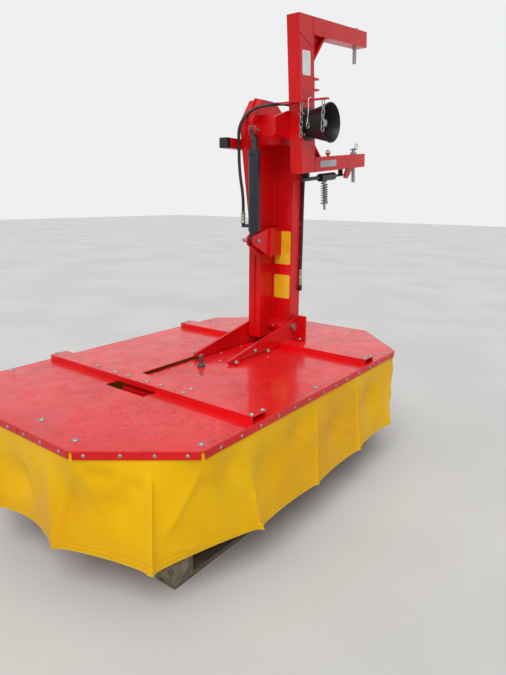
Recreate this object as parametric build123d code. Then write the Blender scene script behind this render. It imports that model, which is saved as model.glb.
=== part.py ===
from build123d import *
import math
import os

os.makedirs("parts", exist_ok=True)

# All sizes are millimetres. X runs along the cutting unit to its free outer end, Y is the way the
# mower drives and Z is up. The origin is on the ground under the middle of the cutting unit.

# Clearances
seat_gap = 0.3
hide = 1

# Deck of the cutting unit
deck_top = 620
deck_length = 2156
deck_width = 1320
outer_chamfer_x = 276
outer_chamfer_y = 348
inner_chamfer_x = 326
inner_chamfer_y = 334
deck_sheet = 4
slot_half = 125
slot_end = 590
rail_depth = 28
rail_thick = 4
rail_notch = 9
rail_split = 4
rail_split_reach = 40

# Cross bars on the deck, each a channel laid upside down
bar_width = 92
bar_height = 30
bar_wall = 5
outer_bar_x = 468
inner_bar_x = -476
bar_inset = 14

# Skirt of coated cloth
skirt_cloth = 3
skirt_drop = 410
skirt_flare = 75

# Gear beam in the slot with its cover and oil filler
beam_half = 95
beam_start = -545
beam_end = 520
beam_top = 20
beam_bottom = 150
beam_lug = 60
beam_lug_places = (-522, -180)
cover_half = 70
cover_thick = 6
cover_start = -440
filler_x = 100
filler_base = 14
filler_base_radius = 20
filler_height = 62
filler_radius = 11

# Drums, discs, blades and gliding dishes
drum_spacing = 930
hub_radius = 75
hub_drop = 25
column_radius = 34
drum_top_radius = 150
drum_foot_radius = 185
drum_wall = 5
drum_top_drop = 182
drum_foot_drop = 385
disc_radius = 420
disc_rim_drop = 412
disc_rim_flat = 60
disc_wall = 5
blade_tip = 475
blade_root = 355
blade_width = 48
blade_thick = 4
blades_each = 3
dish_radius = 320
dish_flat = 200
dish_drop = 31
dish_wall = 6
dish_boss_radius = 60
dish_boss_rise = 4

# Pallet under the machine
pallet_length = 1600
pallet_width = 1000
pallet_height = 144
board_thick = 22
board_width = 145
block_length = 100
top_boards = 5
stringers = 4
bottom_boards = 3

# Hinge of the arm on its two brackets
hinge_x = -550
hinge_rise = 92
hinge_pin_radius = 15
hinge_head_radius = 22
hinge_head = 12
bracket_inner = 108
bracket_thick = 12
bracket_start = 25
bracket_end = -612
bracket_toe = 240
bracket_lip = 18
bracket_slope = 0.205
bracket_flange = 50
bracket_foot = 100
side_gap = 8

# Arm, belt housing and head
split_y = -20
arm_back = -635
tube_front = -540
tube_foot_rise = 125
foot_inset = 25
foot_proud = 30
foot_eye_radius = 45
housing_front = -415
housing_foot_rise = 32
seam_proud = 9
seam_thick = 6
seam_y = -60
taper_start_rise = 650
drive_x = -480
drive_rise = 1170
head_front = 150
head_belly = 20
head_rise = 130
head_shoulder = 60
head_top_front = 72
head_top_back = 50
head_block_top = 55
head_block_front = 75
head_block_drop = 95

# Stowed parking stand behind the belt housing
stand_half = 25
stand_wall = 6
stand_gap = 2
stand_below_drive = 90
stand_start = -595
stand_end = -225
stand_plug = 30
tunnel_back = -590
tunnel_front = -450

# Hitch, its sizes given upright about the drive axis
hitch_lean = 5.5
post_half = 65
post_back = 150
post_thick = 70
post_top = 490
post_bottom = -235
hitch_arm_end = -640
upper_arm_height = 80
lower_arm_height = 75
upper_gusset = 125
lower_gusset = 70
gusset_skin = 8
gusset_inset = 5
sleeve_radius = 56
sleeve_start = 12
trunnion_radius = 40
trunnion_proud = 8
link_pin_x = -560
link_pin_radius = 11
link_shank_radius = 14
link_pin_length = 85
link_head_radius = 19
link_head = 12
link_stub = 34
top_link_hole = 9.75
top_link_rise = 190
top_link_space = 40
top_link_ear = 10
top_link_pad = 6
top_link_reach = 55
top_link_eye = 32

# Drive shaft, the shelf over it and its guard cone
shaft_radius = 17.5
shaft_core_radius = 20
shaft_tail = 20
shaft_shoulder = 12
shaft_stub = 88
shelf_rise = 118
shelf_thick = 8
shelf_back = -70
shelf_front = 95
shelf_reach = 160
shelf_inset = 14
cone_flange_radius = 100
cone_flange = 6
cone_bore = 60
cone_neck = 78
cone_mouth = 116
cone_depth = 112
cone_wall = 5

# Lift cylinder, the clevis at its foot and the lever at its rod
cylinder_y = 20
clevis_x = -300
clevis_rise = 590
clevis_plate = 12
clevis_rear = -80
clevis_side = 60
clevis_up = 60
clevis_down = 90
clevis_nose = 34
ear_inner = 14
ear_thick = 12
clevis_pin_tail = 40
clevis_pin_head = 8
lift_pin_radius = 11
barrel_radius = 30
barrel_bore = 22
barrel_foot = 48
barrel_neck = 20
barrel_collar = 22
barrel_collar_proud = 3
barrel_eye_radius = 27
barrel_eye_half = 12
port_rise = 75
port_radius = 9
port_reach = 72
port_sunk = 4
port_nipple = 27
rod_radius = 18
rod_foot = 200
rod_piston = 30
rod_shown = 95
rod_eye_radius = 25
rod_eye_half = 11
rod_neck = 34
rod_neck_half = 14
eye_gap = 3.5
eye_x = 187
eye_z = -15
lever_thick = 18
lever_gap = 13
lever_ear = 10
lever_outline = (
    # reach from the axis, half height there
    (-60, 60),
    (60, 70),
    (187, 40),
)
lever_plate_x = 138
lever_plate = 12
lever_plate_low = -45
lever_plate_high = 4
lever_pin_tail = 8

# Trip device under the lower hitch arm
trip_drop = 34
trip_tube_radius = 10
trip_tube_end = 12
trip_body_radius = 21
trip_body_start = -167
trip_body_end = -320
trip_rod_radius = 7
trip_rod_end = -427
trip_tab = 6
trip_tab_half = 12
trip_tab_inset = 50
plunger_x = -217
plunger_tip = -446
spring_seat = -407
spring_washer = 6
spring_washer_radius = 22
spring_collar = 8
spring_collar_radius = 15
spring_radius = 17.5
spring_wire_radius = 2.5
spring_turns = 8
keeper_x = -470
keeper_thick = 10

# Chains under the shelf, the shackle and the linch pin on the lower hitch arm
link_wire = 2.75
link_length = 32
link_width = 20
chain_hole = 4.4
chain_inset = 10.1
chain_slack = 0.95
ring_radius = 13
chain_rows = (
    # place along the edge, links, ring at its end
    ("front", 84, 8, True),
    ("side", 250, 9, False),
)
shackle_x = -260
shackle_rise = 12
shackle_wire = 3.5
shackle_bend = 11
shackle_leg = 8
shackle_ear = 8
shackle_hole = 4
linch_wire = 3
linch_ring_wire = 2.5
linch_ring = 15
linch_half = 21
linch_hole = 3.3

# Hose of the lift cylinder, held at the port, over the head and down the side of the arm
hose_diameter = 16

deck_under = deck_top - deck_sheet
reach = deck_length
bracket_outer = bracket_inner + bracket_thick
arm_half = bracket_inner - side_gap
post_front = post_back + post_thick
drive_z = deck_top + drive_rise
hinge_z = deck_top + hinge_rise


def box(x0, x1, y0, y1, z0, z1):
    return Pos((x0 + x1) / 2, (y0 + y1) / 2, (z0 + z1) / 2) * Box(x1 - x0, y1 - y0, z1 - z0)


def bar_x(x0, x1, y, z, radius):
    return Pos((x0 + x1) / 2, y, z) * Rot(0, 90, 0) * Cylinder(radius, abs(x1 - x0))


def bar_y(x, z, y0, y1, radius):
    return Pos(x, (y0 + y1) / 2, z) * Rot(90, 0, 0) * Cylinder(radius, y1 - y0)


def bar_z(x, y, z0, z1, radius):
    return Pos(x, y, (z0 + z1) / 2) * Cylinder(radius, z1 - z0)


def plate_y(points, y0, y1):
    outline = Polyline(*[(x, y0, z) for x, z in points], close=True)
    return extrude(make_face(outline), amount=y1 - y0, dir=(0, 1, 0))


def spun(points, x, z):
    # A profile of radius and height turned about a vertical axis
    profile = make_face(Polyline(*[(r, 0, h) for r, h in points], close=True))
    return Pos(x, 0, z) * revolve(profile, Axis.Z)


def pair(side, near, far):
    # The two ends, lower first, of a span that lies on one side of the middle
    return sorted((side * near, side * far))


def save(shape, name):
    export_step(shape, f"parts/{name}.step")


def deck_corners(grow):
    half_x = deck_length / 2
    half_y = deck_width / 2
    corners = [
        (half_x, outer_chamfer_y - half_y),
        (half_x, half_y - outer_chamfer_y),
        (half_x - outer_chamfer_x, half_y),
        (inner_chamfer_x - half_x, half_y),
        (-half_x, half_y - inner_chamfer_y),
        (-half_x, inner_chamfer_y - half_y),
        (inner_chamfer_x - half_x, -half_y),
        (half_x - outer_chamfer_x, -half_y),
    ]
    if grow == 0:
        return corners
    moved = []
    for i, (x, y) in enumerate(corners):
        sides = []
        for (ax, ay), (bx, by) in ((corners[i - 1], (x, y)), ((x, y), corners[(i + 1) % 8])):
            run = math.hypot(bx - ax, by - ay)
            sides.append(((by - ay) / run, (ax - bx) / run))
        (nx, ny), (mx, my) = sides
        share = grow / (1 + nx * mx + ny * my)
        moved.append((x + share * (nx + mx), y + share * (ny + my)))
    return moved


def deck_face(grow, z):
    return make_face(Polyline(*[(x, y, z) for x, y in deck_corners(grow)], close=True))


# Deck sheets, one each side of the slot and one at its closed end
sheet = extrude(deck_face(0, deck_under), amount=deck_sheet, dir=(0, 0, 1))
front_deck = sheet & box(-reach, reach, slot_half, reach, 0, 2 * deck_top)
rear_deck = sheet & box(-reach, reach, -reach, -slot_half, 0, 2 * deck_top)
end_deck = sheet & box(slot_end, reach, -slot_half, slot_half, 0, 2 * deck_top)
save(Compound([front_deck, rear_deck]), "deck_sides")
save(end_deck, "deck_end")


def edge_rail(start, end):
    # A flat bar hung under one edge of the deck, short of both corners
    (ax, ay), (bx, by) = start, end
    run = math.hypot(bx - ax, by - ay) - 2 * rail_notch
    turn = math.degrees(math.atan2(by - ay, bx - ax))
    middle = Pos((ax + bx) / 2, (ay + by) / 2, deck_under - rail_depth / 2)
    return middle * Rot(0, 0, turn) * Pos(0, rail_thick / 2, 0) * Box(run, rail_thick, rail_depth)


corners = deck_corners(0)
rails = [edge_rail(corners[i], corners[(i + 1) % 8]) for i in range(8)]
split = box(deck_length / 2 - rail_split_reach, reach, -rail_split / 2, rail_split / 2, 0, 2 * deck_top)
save(Compound([rails[0] - split] + rails[1:]), "edge_rails")

# Skirt: a strip clamped behind the rails, then a cloth wall that leans outward to its hem
strip_top = deck_under - seat_gap
strip_foot = deck_under - rail_depth - seat_gap
hem_z = deck_top - skirt_drop
inner = -rail_thick - seat_gap
strip = extrude(deck_face(inner, strip_foot), amount=strip_top - strip_foot, dir=(0, 0, 1))
strip_inside = deck_face(inner - skirt_cloth, strip_foot)
strip -= extrude(strip_inside, amount=strip_top - strip_foot, dir=(0, 0, 1))
wall = loft([deck_face(inner, strip_foot), deck_face(skirt_flare, hem_z)])
wall -= loft([strip_inside, deck_face(skirt_flare - skirt_cloth, hem_z)])
save(strip + wall, "skirt")


def cross_bar(x, y0, y1):
    top = deck_top + bar_height
    inside = bar_width / 2 - bar_wall
    outer = box(x - bar_width / 2, x + bar_width / 2, y0, y1, deck_top, top)
    return outer - box(x - inside, x + inside, y0 - hide, y1 + hide, deck_top - hide, top - bar_wall)


bar_reach = deck_width / 2 - bar_inset
bars = [
    cross_bar(outer_bar_x, -bar_reach, bar_reach),
    cross_bar(inner_bar_x, bracket_outer, bar_reach),
    cross_bar(inner_bar_x, -bar_reach, -bracket_outer),
]
save(Compound(bars), "cross_bars")

# Gear beam in the slot, with a foot under the outer bar and lugs between the brackets
beam_roof = deck_top - beam_top
foot_half = beam_lug / 2
bar_ceiling = deck_top + bar_height - bar_wall
beam = box(beam_start, beam_end, -beam_half, beam_half, deck_top - beam_bottom, beam_roof)
cover_end = outer_bar_x - foot_half
beam += box(cover_end, outer_bar_x + foot_half, -cover_half, cover_half, beam_roof, bar_ceiling)
for side in (-1, 1):
    for x in beam_lug_places:
        y0, y1 = pair(side, beam_half, bracket_inner)
        beam += box(x, x + beam_lug, y0, y1, deck_top - bracket_foot, beam_roof)
save(beam, "gear_beam")
cover_top = beam_roof + cover_thick
save(box(cover_start, cover_end, -cover_half, cover_half, beam_roof, cover_top), "gear_cover")
filler = bar_z(filler_x, 0, cover_top, cover_top + filler_base, filler_base_radius)
filler += bar_z(filler_x, 0, cover_top + filler_base, cover_top + filler_height, filler_radius)
save(filler, "oil_filler")


def bracket(side):
    # A wedge beside the slot that rises to the arm's pin and ends in a flange
    peak = deck_top + bracket_lip + bracket_slope * (bracket_start - bracket_end)
    points = [
        (bracket_start, deck_top + bracket_lip),
        (bracket_end, peak),
        (bracket_end, deck_top - bracket_foot),
        (bracket_start - bracket_toe, deck_top - bracket_foot),
        (bracket_start, deck_top),
    ]
    y0, y1 = pair(side, bracket_inner, bracket_outer)
    f0, f1 = pair(side, bracket_outer, bracket_outer + bracket_flange)
    wedge = plate_y(points, y0, y1) + box(bracket_end, bracket_end + bracket_thick, f0, f1, deck_top, peak)
    return wedge - bar_y(hinge_x, hinge_z, y0 - hide, y1 + hide, hinge_pin_radius)


save(Compound([bracket(1), bracket(-1)]), "hinge_brackets")
pin_end = bracket_outer + hinge_head
hinge_pin = bar_y(hinge_x, hinge_z, -bracket_outer, bracket_outer, hinge_pin_radius)
hinge_pin += bar_y(hinge_x, hinge_z, bracket_outer, pin_end, hinge_head_radius)
hinge_pin += bar_y(hinge_x, hinge_z, -pin_end, -bracket_outer, hinge_head_radius)
save(hinge_pin, "hinge_pin")

# Drums on their fixed columns, each with a disc and blades, over the gliding dishes
hub_foot = deck_top - beam_bottom - hub_drop
drum_roof = deck_top - drum_top_drop
drum_foot = deck_top - drum_foot_drop
disc_low = deck_top - disc_rim_drop
dish_hub = disc_low + dish_boss_rise
bore = column_radius + seat_gap
drums = {}
for name, side in (("outer", 1), ("inner", -1)):
    x = side * drum_spacing / 2
    shell = [
        (bore, drum_roof),
        (drum_top_radius, drum_roof),
        (drum_foot_radius, drum_foot),
        (drum_foot_radius - drum_wall, drum_foot),
        (drum_top_radius - drum_wall, drum_roof - drum_wall),
        (bore, drum_roof - drum_wall),
    ]
    save(spun(shell, x, 0), f"drum_{name}")
    flat = disc_radius - disc_rim_flat
    disc = [
        (bore, drum_foot),
        (drum_foot_radius, drum_foot),
        (flat, disc_low + disc_wall),
        (disc_radius, disc_low + disc_wall),
        (disc_radius, disc_low),
        (flat, disc_low),
        (drum_foot_radius, drum_foot - disc_wall),
        (bore, drum_foot - disc_wall),
    ]
    save(spun(disc, x, 0), f"disc_{name}")
    # Both sets of blades are timed so that they pass between each other
    first = 0 if side > 0 else 180 / blades_each + 180
    blade = box(blade_root, blade_tip, -blade_width / 2, blade_width / 2, disc_low - blade_thick, disc_low)
    blades = [Pos(x, 0, 0) * Rot(0, 0, first + 360 * i / blades_each) * blade for i in range(blades_each)]
    save(Compound(blades), f"blades_{name}")
    hub = bar_z(x, 0, hub_foot, deck_top - beam_bottom, hub_radius)
    hub += bar_z(x, 0, dish_hub, hub_foot, column_radius)
    dish = [
        (0, pallet_height),
        (dish_flat, pallet_height),
        (dish_radius, disc_low - dish_drop - dish_wall),
        (dish_radius, disc_low - dish_drop),
        (dish_flat, pallet_height + dish_wall),
        (dish_boss_radius, pallet_height + dish_wall),
        (dish_boss_radius, dish_hub),
        (0, dish_hub),
    ]
    drums[name] = (hub, spun(dish, x, 0))
save(Compound([hub for hub, dish in drums.values()]), "drum_hubs")
save(Compound([dish for hub, dish in drums.values()]), "glide_dishes")

# Pallet: boards above and below, stringers across and blocks between
board_top = pallet_height - board_thick
block_top = board_top - board_thick
half_block = block_length / 2


def spread(count, room):
    # Middles of like pieces set out evenly from end to end of a room
    return [room * (i / (count - 1) - 0.5) for i in range(count)]


half_board = board_width / 2
half_pallet = pallet_length / 2
boards = [
    box(-half_pallet, half_pallet, y - half_board, y + half_board, board_top, pallet_height)
    for y in spread(top_boards, pallet_width - board_width)
]
block_rows = spread(bottom_boards, pallet_width - block_length)
for y in block_rows:
    boards.append(box(-half_pallet, half_pallet, y - half_block, y + half_block, 0, board_thick))
save(Compound(boards), "pallet_boards")
cross, blocks = [], []
for x in spread(stringers, pallet_length - block_length):
    x0, x1 = x - half_block, x + half_block
    cross.append(box(x0, x1, -pallet_width / 2, pallet_width / 2, block_top, board_top))
    blocks += [box(x0, x1, y - half_block, y + half_block, board_thick, block_top) for y in block_rows]
save(Compound(cross), "pallet_stringers")
save(Compound(blocks), "pallet_blocks")

# Arm: square tube beside the belt housing
arm_top = drive_z + head_block_top
tube_foot = deck_top + tube_foot_rise
hinge_bore = hinge_pin_radius + seat_gap
shaft_bore = shaft_core_radius + seat_gap
save(box(arm_back, tube_front, split_y, arm_half, tube_foot, arm_top), "arm_tube")
foot = box(arm_back + foot_inset, tube_front + foot_proud, split_y, arm_half, hinge_z, tube_foot)
foot_eye = bar_y(hinge_x, hinge_z, split_y, arm_half, foot_eye_radius)
foot += foot_eye & box(-reach, 0, -reach, reach, 0, tube_foot)
foot -= bar_y(hinge_x, hinge_z, split_y - hide, arm_half + hide, hinge_bore)
save(foot, "arm_foot")


def housing_outline(proud):
    front = housing_front + proud
    nose = drive_x + head_front + proud
    foot_z = deck_top + housing_foot_rise
    crown = drive_z + head_rise + proud
    return [
        (arm_back, foot_z),
        (front, foot_z),
        (front, deck_top + taper_start_rise),
        (nose, drive_z - head_belly),
        (nose, drive_z + head_belly),
        (drive_x + head_top_front + proud / 2, crown),
        (drive_x - head_top_back, crown),
        (arm_back, drive_z + head_shoulder),
    ]


clevis_z = deck_top + clevis_rise
seam = plate_y(housing_outline(seam_proud), seam_y - seam_thick / 2, seam_y + seam_thick / 2)
seam_low = clevis_z - clevis_down - side_gap
seam_high = clevis_z + clevis_up + side_gap
seam -= box(housing_front, 0, -arm_half, split_y, seam_low, seam_high)
housing = plate_y(housing_outline(0), -arm_half, split_y) + seam
housing -= bar_y(hinge_x, hinge_z, -arm_half - hide, split_y + hide, hinge_bore)
housing -= bar_y(drive_x, drive_z, -arm_half - hide, split_y + hide, shaft_bore)
stand_z = drive_z - stand_below_drive
stand_y = -arm_half - stand_gap - stand_half
tunnel_half = stand_half + stand_wall


def square_x(x0, x1, half):
    # A square bar along X at the parking stand's place
    return box(x0, x1, stand_y - half, stand_y + half, stand_z - half, stand_z + half)


tunnel_low = stand_z - tunnel_half
tunnel_high = stand_z + tunnel_half
tunnel = box(tunnel_back, tunnel_front, stand_y - tunnel_half, -arm_half, tunnel_low, tunnel_high)
tunnel -= square_x(tunnel_back - hide, tunnel_front + hide, stand_half)
save(housing + tunnel, "belt_housing")
save(square_x(stand_start, stand_end - stand_plug, stand_half), "stand_bar")
save(square_x(stand_end - stand_plug, stand_end, stand_half), "stand_plug")

head_low = drive_z - head_block_drop
head_block = box(tube_front, drive_x + head_block_front, split_y, arm_half, head_low, arm_top)
trunnion_end = post_front + trunnion_proud
head_block += bar_y(drive_x, drive_z, arm_half, trunnion_end, trunnion_radius - seat_gap)
head_block -= bar_y(drive_x, drive_z, split_y - hide, trunnion_end + hide, shaft_bore)
save(head_block, "arm_head")

# Clevis on the arm that carries the foot of the lift cylinder
clevis_face = housing_front + clevis_plate
clevis_low = clevis_z - clevis_down
clevis_high = clevis_z + clevis_up
clevis = box(housing_front, clevis_face, clevis_rear, clevis_side, clevis_low, clevis_high)
clevis += box(tube_front, housing_front, cylinder_y, cylinder_y + clevis_plate, clevis_low, clevis_high)
ear_outline = [
    (clevis_face, clevis_low),
    (clevis_x, clevis_z - clevis_nose),
    (clevis_x, clevis_z + clevis_nose),
    (clevis_face, clevis_high),
]
ear_reach = ear_inner + ear_thick
for side in (-1, 1):
    y0, y1 = (cylinder_y + y for y in pair(side, ear_inner, ear_reach))
    ear = plate_y(ear_outline, y0, y1) + bar_y(clevis_x, clevis_z, y0, y1, clevis_nose)
    clevis += ear - bar_y(clevis_x, clevis_z, y0 - hide, y1 + hide, lift_pin_radius)
save(clevis, "cylinder_clevis")
pin_tail = cylinder_y - ear_reach - clevis_pin_tail
pin_head = cylinder_y + ear_reach + clevis_pin_head
save(bar_y(clevis_x, clevis_z, pin_tail, pin_head, lift_pin_radius), "clevis_pin")


def leaned(shape):
    # Puts a piece of the hitch, given upright about the drive axis, at its parked lean
    return Pos(drive_x, 0, drive_z) * Rot(0, hitch_lean, 0) * shape


pin_y = post_back + post_thick / 2
upper_under = post_top - upper_arm_height
lower_over = post_bottom + lower_arm_height


def gusset(corner_z, up, size):
    # A diagonal plate and a web in the inner corner between post and arm
    run = -post_half
    slant = math.sqrt(2) * gusset_skin
    points = [(run, corner_z), (run - size, corner_z), (run, corner_z + up * size)]
    slope = [
        (run - size, corner_z),
        (run - size + slant, corner_z),
        (run, corner_z + up * (size - slant)),
        (run, corner_z + up * size),
    ]
    web = plate_y(points, pin_y - gusset_skin / 2, pin_y + gusset_skin / 2)
    return web + plate_y(slope, post_back + gusset_inset, post_front - gusset_inset)


post = box(-post_half, post_half, post_back, post_front, post_bottom, post_top)
post -= bar_y(0, 0, post_back - hide, post_front + hide, sleeve_radius)
post += bar_y(0, 0, arm_half + sleeve_start, post_front, sleeve_radius)
post -= bar_y(0, 0, arm_half, post_front + hide, trunnion_radius)
post += gusset(upper_under, -1, upper_gusset)
post += gusset(lower_over, 1, lower_gusset)
save(leaned(post), "hitch_post")


def hitch_arm(low, high):
    beam = box(hitch_arm_end, -post_half, post_back, post_front, low, high)
    return beam - bar_z(link_pin_x, pin_y, low - hide, high + hide, link_shank_radius)


save(leaned(hitch_arm(upper_under, post_top)), "hitch_arm_upper")

# Lower hitch arm with an ear for the shackle above and the hooked keeper of the trip device below
trip_z = post_bottom - trip_drop
ear_z = lower_over + shackle_rise
ear_half = shackle_ear / 2
ear_round = shackle_bend - shackle_wire
ear_low = pin_y - ear_half
ear_high = pin_y + ear_half
shackle_lug = box(shackle_x - ear_round, shackle_x + ear_round, ear_low, ear_high, lower_over, ear_z)
shackle_lug += bar_y(shackle_x, ear_z, ear_low, ear_high, ear_round)
shackle_lug -= bar_y(shackle_x, ear_z, pin_y - shackle_ear, pin_y + shackle_ear, shackle_hole)
keeper_outline = [
    (keeper_x + 35, post_bottom),
    (keeper_x + 55, trip_z + 8),
    (keeper_x + 62, trip_z - 16),
    (keeper_x + 30, trip_z - 22),
    (keeper_x - 5, trip_z + 2),
    (keeper_x - 30, post_bottom),
]
keeper_y = pin_y + trip_rod_radius + side_gap
keeper = plate_y(keeper_outline, keeper_y, keeper_y + keeper_thick)
save(leaned(hitch_arm(post_bottom, lower_over) + shackle_lug + keeper), "hitch_arm_lower")


def half_ring(bend, wire):
    # The upper half of a ring in the YZ plane
    return revolve(Pos(0, bend, 0) * Circle(wire), Axis.X, revolution_arc=180)


def chain_link(x, y, z, turn):
    bend = link_width / 2 - link_wire
    straight = (link_length - link_width) / 2
    half = Pos(0, 0, straight) * half_ring(bend, link_wire)
    link = half + Rot(180, 0, 0) * half
    for side in (-1, 1):
        link += bar_z(0, side * bend, -straight, straight, link_wire)
    return Pos(x, y, z) * Rot(0, 0, turn) * link


# Shackle through the ear on the lower arm
shackle = Pos(0, 0, shackle_leg) * half_ring(shackle_bend, shackle_wire)
for side in (-1, 1):
    shackle += bar_z(0, side * shackle_bend, 0, shackle_leg, shackle_wire)
shackle_end = shackle_bend + shackle_wire
shackle += bar_y(0, 0, -shackle_end, shackle_end, shackle_hole - seat_gap)
save(leaned(Pos(shackle_x, pin_y, ear_z) * shackle), "shackle")

# Link pins, the lower one held by a linch pin above its arm
for name, arm_under, arm_over in (("upper", upper_under, post_top), ("lower", post_bottom, lower_over)):
    pin = bar_z(link_pin_x, pin_y, arm_under - link_pin_length, arm_under, link_pin_radius)
    pin += bar_z(link_pin_x, pin_y, arm_under, arm_over, link_shank_radius)
    pin += bar_z(link_pin_x, pin_y, arm_over, arm_over + link_head, link_head_radius)
    if name == "lower":
        linch_z = arm_over + link_stub - 2 * linch_wire
        pin += bar_z(link_pin_x, pin_y, arm_over + link_head, arm_over + link_stub, link_pin_radius)
        pin -= bar_y(link_pin_x, linch_z, pin_y - link_head_radius, pin_y + link_head_radius, linch_hole)
    save(leaned(pin), f"link_pin_{name}")
linch = bar_y(link_pin_x, linch_z, pin_y - linch_half, pin_y + linch_half, linch_wire)
ring_y = pin_y + linch_half - linch_ring_wire
ring = Pos(link_pin_x, ring_y, linch_z + linch_ring) * Rot(90, 0, 0) * Torus(linch_ring, linch_ring_wire)
save(leaned(linch + ring), "linch_pin")

# Ears for the upper link, bored along the same line as the link pins
ear_back = -post_half - top_link_reach
ear_y0 = post_back + gusset_inset
ear_y1 = post_front - gusset_inset
link_low = top_link_rise - top_link_space / 2
link_high = top_link_rise + top_link_space / 2
top_link = box(-post_half - top_link_pad, -post_half, ear_y0, ear_y1, link_low, link_high)
for z in (link_low - top_link_ear, link_high):
    ear = box(ear_back, -post_half, ear_y0, ear_y1, z, z + top_link_ear)
    hole_x = -post_half - top_link_eye
    top_link += ear - bar_z(hole_x, pin_y, z - hide, z + top_link_ear + hide, top_link_hole)
save(leaned(top_link), "top_link_ears")

# Shelf over the drive shaft with its two chain holes, and the guard cone round the shaft
shelf_top = shelf_rise + shelf_thick
shelf_end = post_front + shelf_reach
shelf = box(shelf_back, shelf_front, post_front, shelf_end, shelf_rise, shelf_top)
shelf += box(post_half, shelf_front, arm_half + shelf_inset, post_front, shelf_rise, shelf_top)
link_bend = link_width / 2 - link_wire
link_straight = (link_length - link_width) / 2
link_pitch = link_length - 4 * link_wire - seat_gap
crown = math.sqrt((link_bend - link_wire) ** 2 - (link_bend + chain_hole - chain_inset) ** 2)
chains = []
for edge, along, count, ringed in chain_rows:
    if edge == "front":
        hole = (along, shelf_end - chain_inset)
        hang = (along, shelf_end - chain_inset + link_bend)
        turn = 0
    else:
        hole = (shelf_front - chain_inset, along)
        hang = (shelf_front - chain_inset + link_bend, along)
        turn = 90
    shelf -= bar_z(hole[0], hole[1], shelf_rise - hide, shelf_top + hide, chain_hole)
    # The chain hangs plumb from the leaned shelf
    start = leaned(Pos(hang[0], hang[1], shelf_top)).position
    top = start.Z + chain_slack - link_straight - crown
    for i in range(count):
        chains.append(chain_link(start.X, start.Y, top - i * link_pitch, turn + 90 * (i % 2)))
    if ringed:
        last = top - (count - 1) * link_pitch
        ring_z = last - link_length / 2 + 3 * link_wire + seat_gap - ring_radius
        ring_turn = turn + 90 * (count % 2)
        chains.append(Pos(start.X, start.Y, ring_z) * Rot(0, 90, ring_turn) * Torus(ring_radius, link_wire))
save(leaned(shelf), "shaft_shelf")
save(Compound(chains), "guard_chains")
cone = [
    (cone_bore, 0),
    (cone_flange_radius, 0),
    (cone_flange_radius, cone_flange),
    (cone_neck, cone_flange),
    (cone_mouth, cone_depth),
    (cone_mouth - cone_wall, cone_depth),
    (cone_neck - cone_wall, cone_wall),
    (cone_bore, cone_wall),
]
guard = revolve(make_face(Polyline(*[(r, h, 0) for r, h in cone], close=True)), Axis.Y)
save(leaned(Pos(0, post_front, 0) * guard), "drive_guard")
shoulder = post_front + shaft_shoulder
shaft = bar_y(0, 0, -arm_half - shaft_tail, shoulder, shaft_core_radius)
shaft += bar_y(0, 0, shoulder, shoulder + shaft_stub, shaft_radius)
save(leaned(shaft), "drive_shaft")

# Lever on the hitch that the cylinder's rod pushes
outline = [(x, -half) for x, half in lever_outline] + [(x, half) for x, half in reversed(lever_outline)]
lever = plate_y(outline, post_back - lever_thick, post_back)
lever -= bar_y(0, 0, post_back - lever_thick - hide, post_back + hide, sleeve_radius)
lever_half = lever_gap + lever_ear
bridge_back = lever_plate_x + lever_plate
bridge_y0 = cylinder_y - lever_half
bridge_y1 = post_back - lever_thick
lever += box(lever_plate_x, bridge_back, bridge_y0, bridge_y1, lever_plate_low, lever_plate_high)
for side in (-1, 1):
    y0, y1 = (cylinder_y + y for y in pair(side, lever_gap, lever_half))
    ear = box(bridge_back, eye_x, y0, y1, eye_z - rod_eye_radius, eye_z + rod_eye_radius)
    ear += bar_y(eye_x, eye_z, y0, y1, rod_eye_radius)
    lever += ear - bar_y(eye_x, eye_z, y0 - hide, y1 + hide, lift_pin_radius)
save(leaned(lever), "lift_lever")
lift_half = lever_half + lever_pin_tail
lift_pin = bar_y(eye_x, eye_z, cylinder_y - lift_half, cylinder_y + lift_half, lift_pin_radius)
save(leaned(lift_pin), "lift_pin")

# Lift cylinder, modelled upright on its clevis pin and then tilted to the lever's eye
lean = math.radians(hitch_lean)
lift_x = drive_x + eye_x * math.cos(lean) + eye_z * math.sin(lean)
lift_z = drive_z - eye_x * math.sin(lean) + eye_z * math.cos(lean)
reach_now = math.hypot(lift_x - clevis_x, lift_z - clevis_z)
tilt = math.degrees(math.atan2(lift_x - clevis_x, lift_z - clevis_z))


def along_cylinder(shape):
    return Pos(clevis_x, cylinder_y, clevis_z) * Rot(0, tilt, 0) * shape


barrel_top = reach_now - rod_shown
gland = barrel_top - barrel_collar
barrel = bar_z(0, 0, barrel_foot, gland, barrel_radius)
barrel += bar_z(0, 0, gland, barrel_top, barrel_radius + barrel_collar_proud)
barrel += bar_y(0, 0, -barrel_eye_half, barrel_eye_half, barrel_eye_radius)
barrel += box(-barrel_neck, barrel_neck, -barrel_eye_half, barrel_eye_half, 0, barrel_foot + hide)
barrel -= bar_z(0, 0, barrel_foot + barrel_eye_half, gland, barrel_bore)
barrel -= bar_z(0, 0, barrel_foot + barrel_eye_half, barrel_top + hide, rod_radius + seat_gap)
barrel -= bar_y(0, 0, -barrel_eye_half - hide, barrel_eye_half + hide, lift_pin_radius + seat_gap)
barrel += bar_y(0, port_rise, -port_reach, port_sunk - barrel_radius, port_radius)
barrel += bar_z(0, -port_reach, port_rise - port_radius, port_rise + port_nipple, port_radius)
save(along_cylinder(barrel), "cylinder_barrel")
rod = bar_z(0, 0, rod_foot, rod_foot + rod_piston, barrel_bore - seat_gap)
rod += bar_z(0, 0, rod_foot, reach_now - rod_neck, rod_radius)
rod_low = reach_now - rod_neck - rod_eye_half / 2
rod += box(-rod_neck_half, rod_neck_half, -rod_eye_half, rod_eye_half, rod_low, reach_now)
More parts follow.
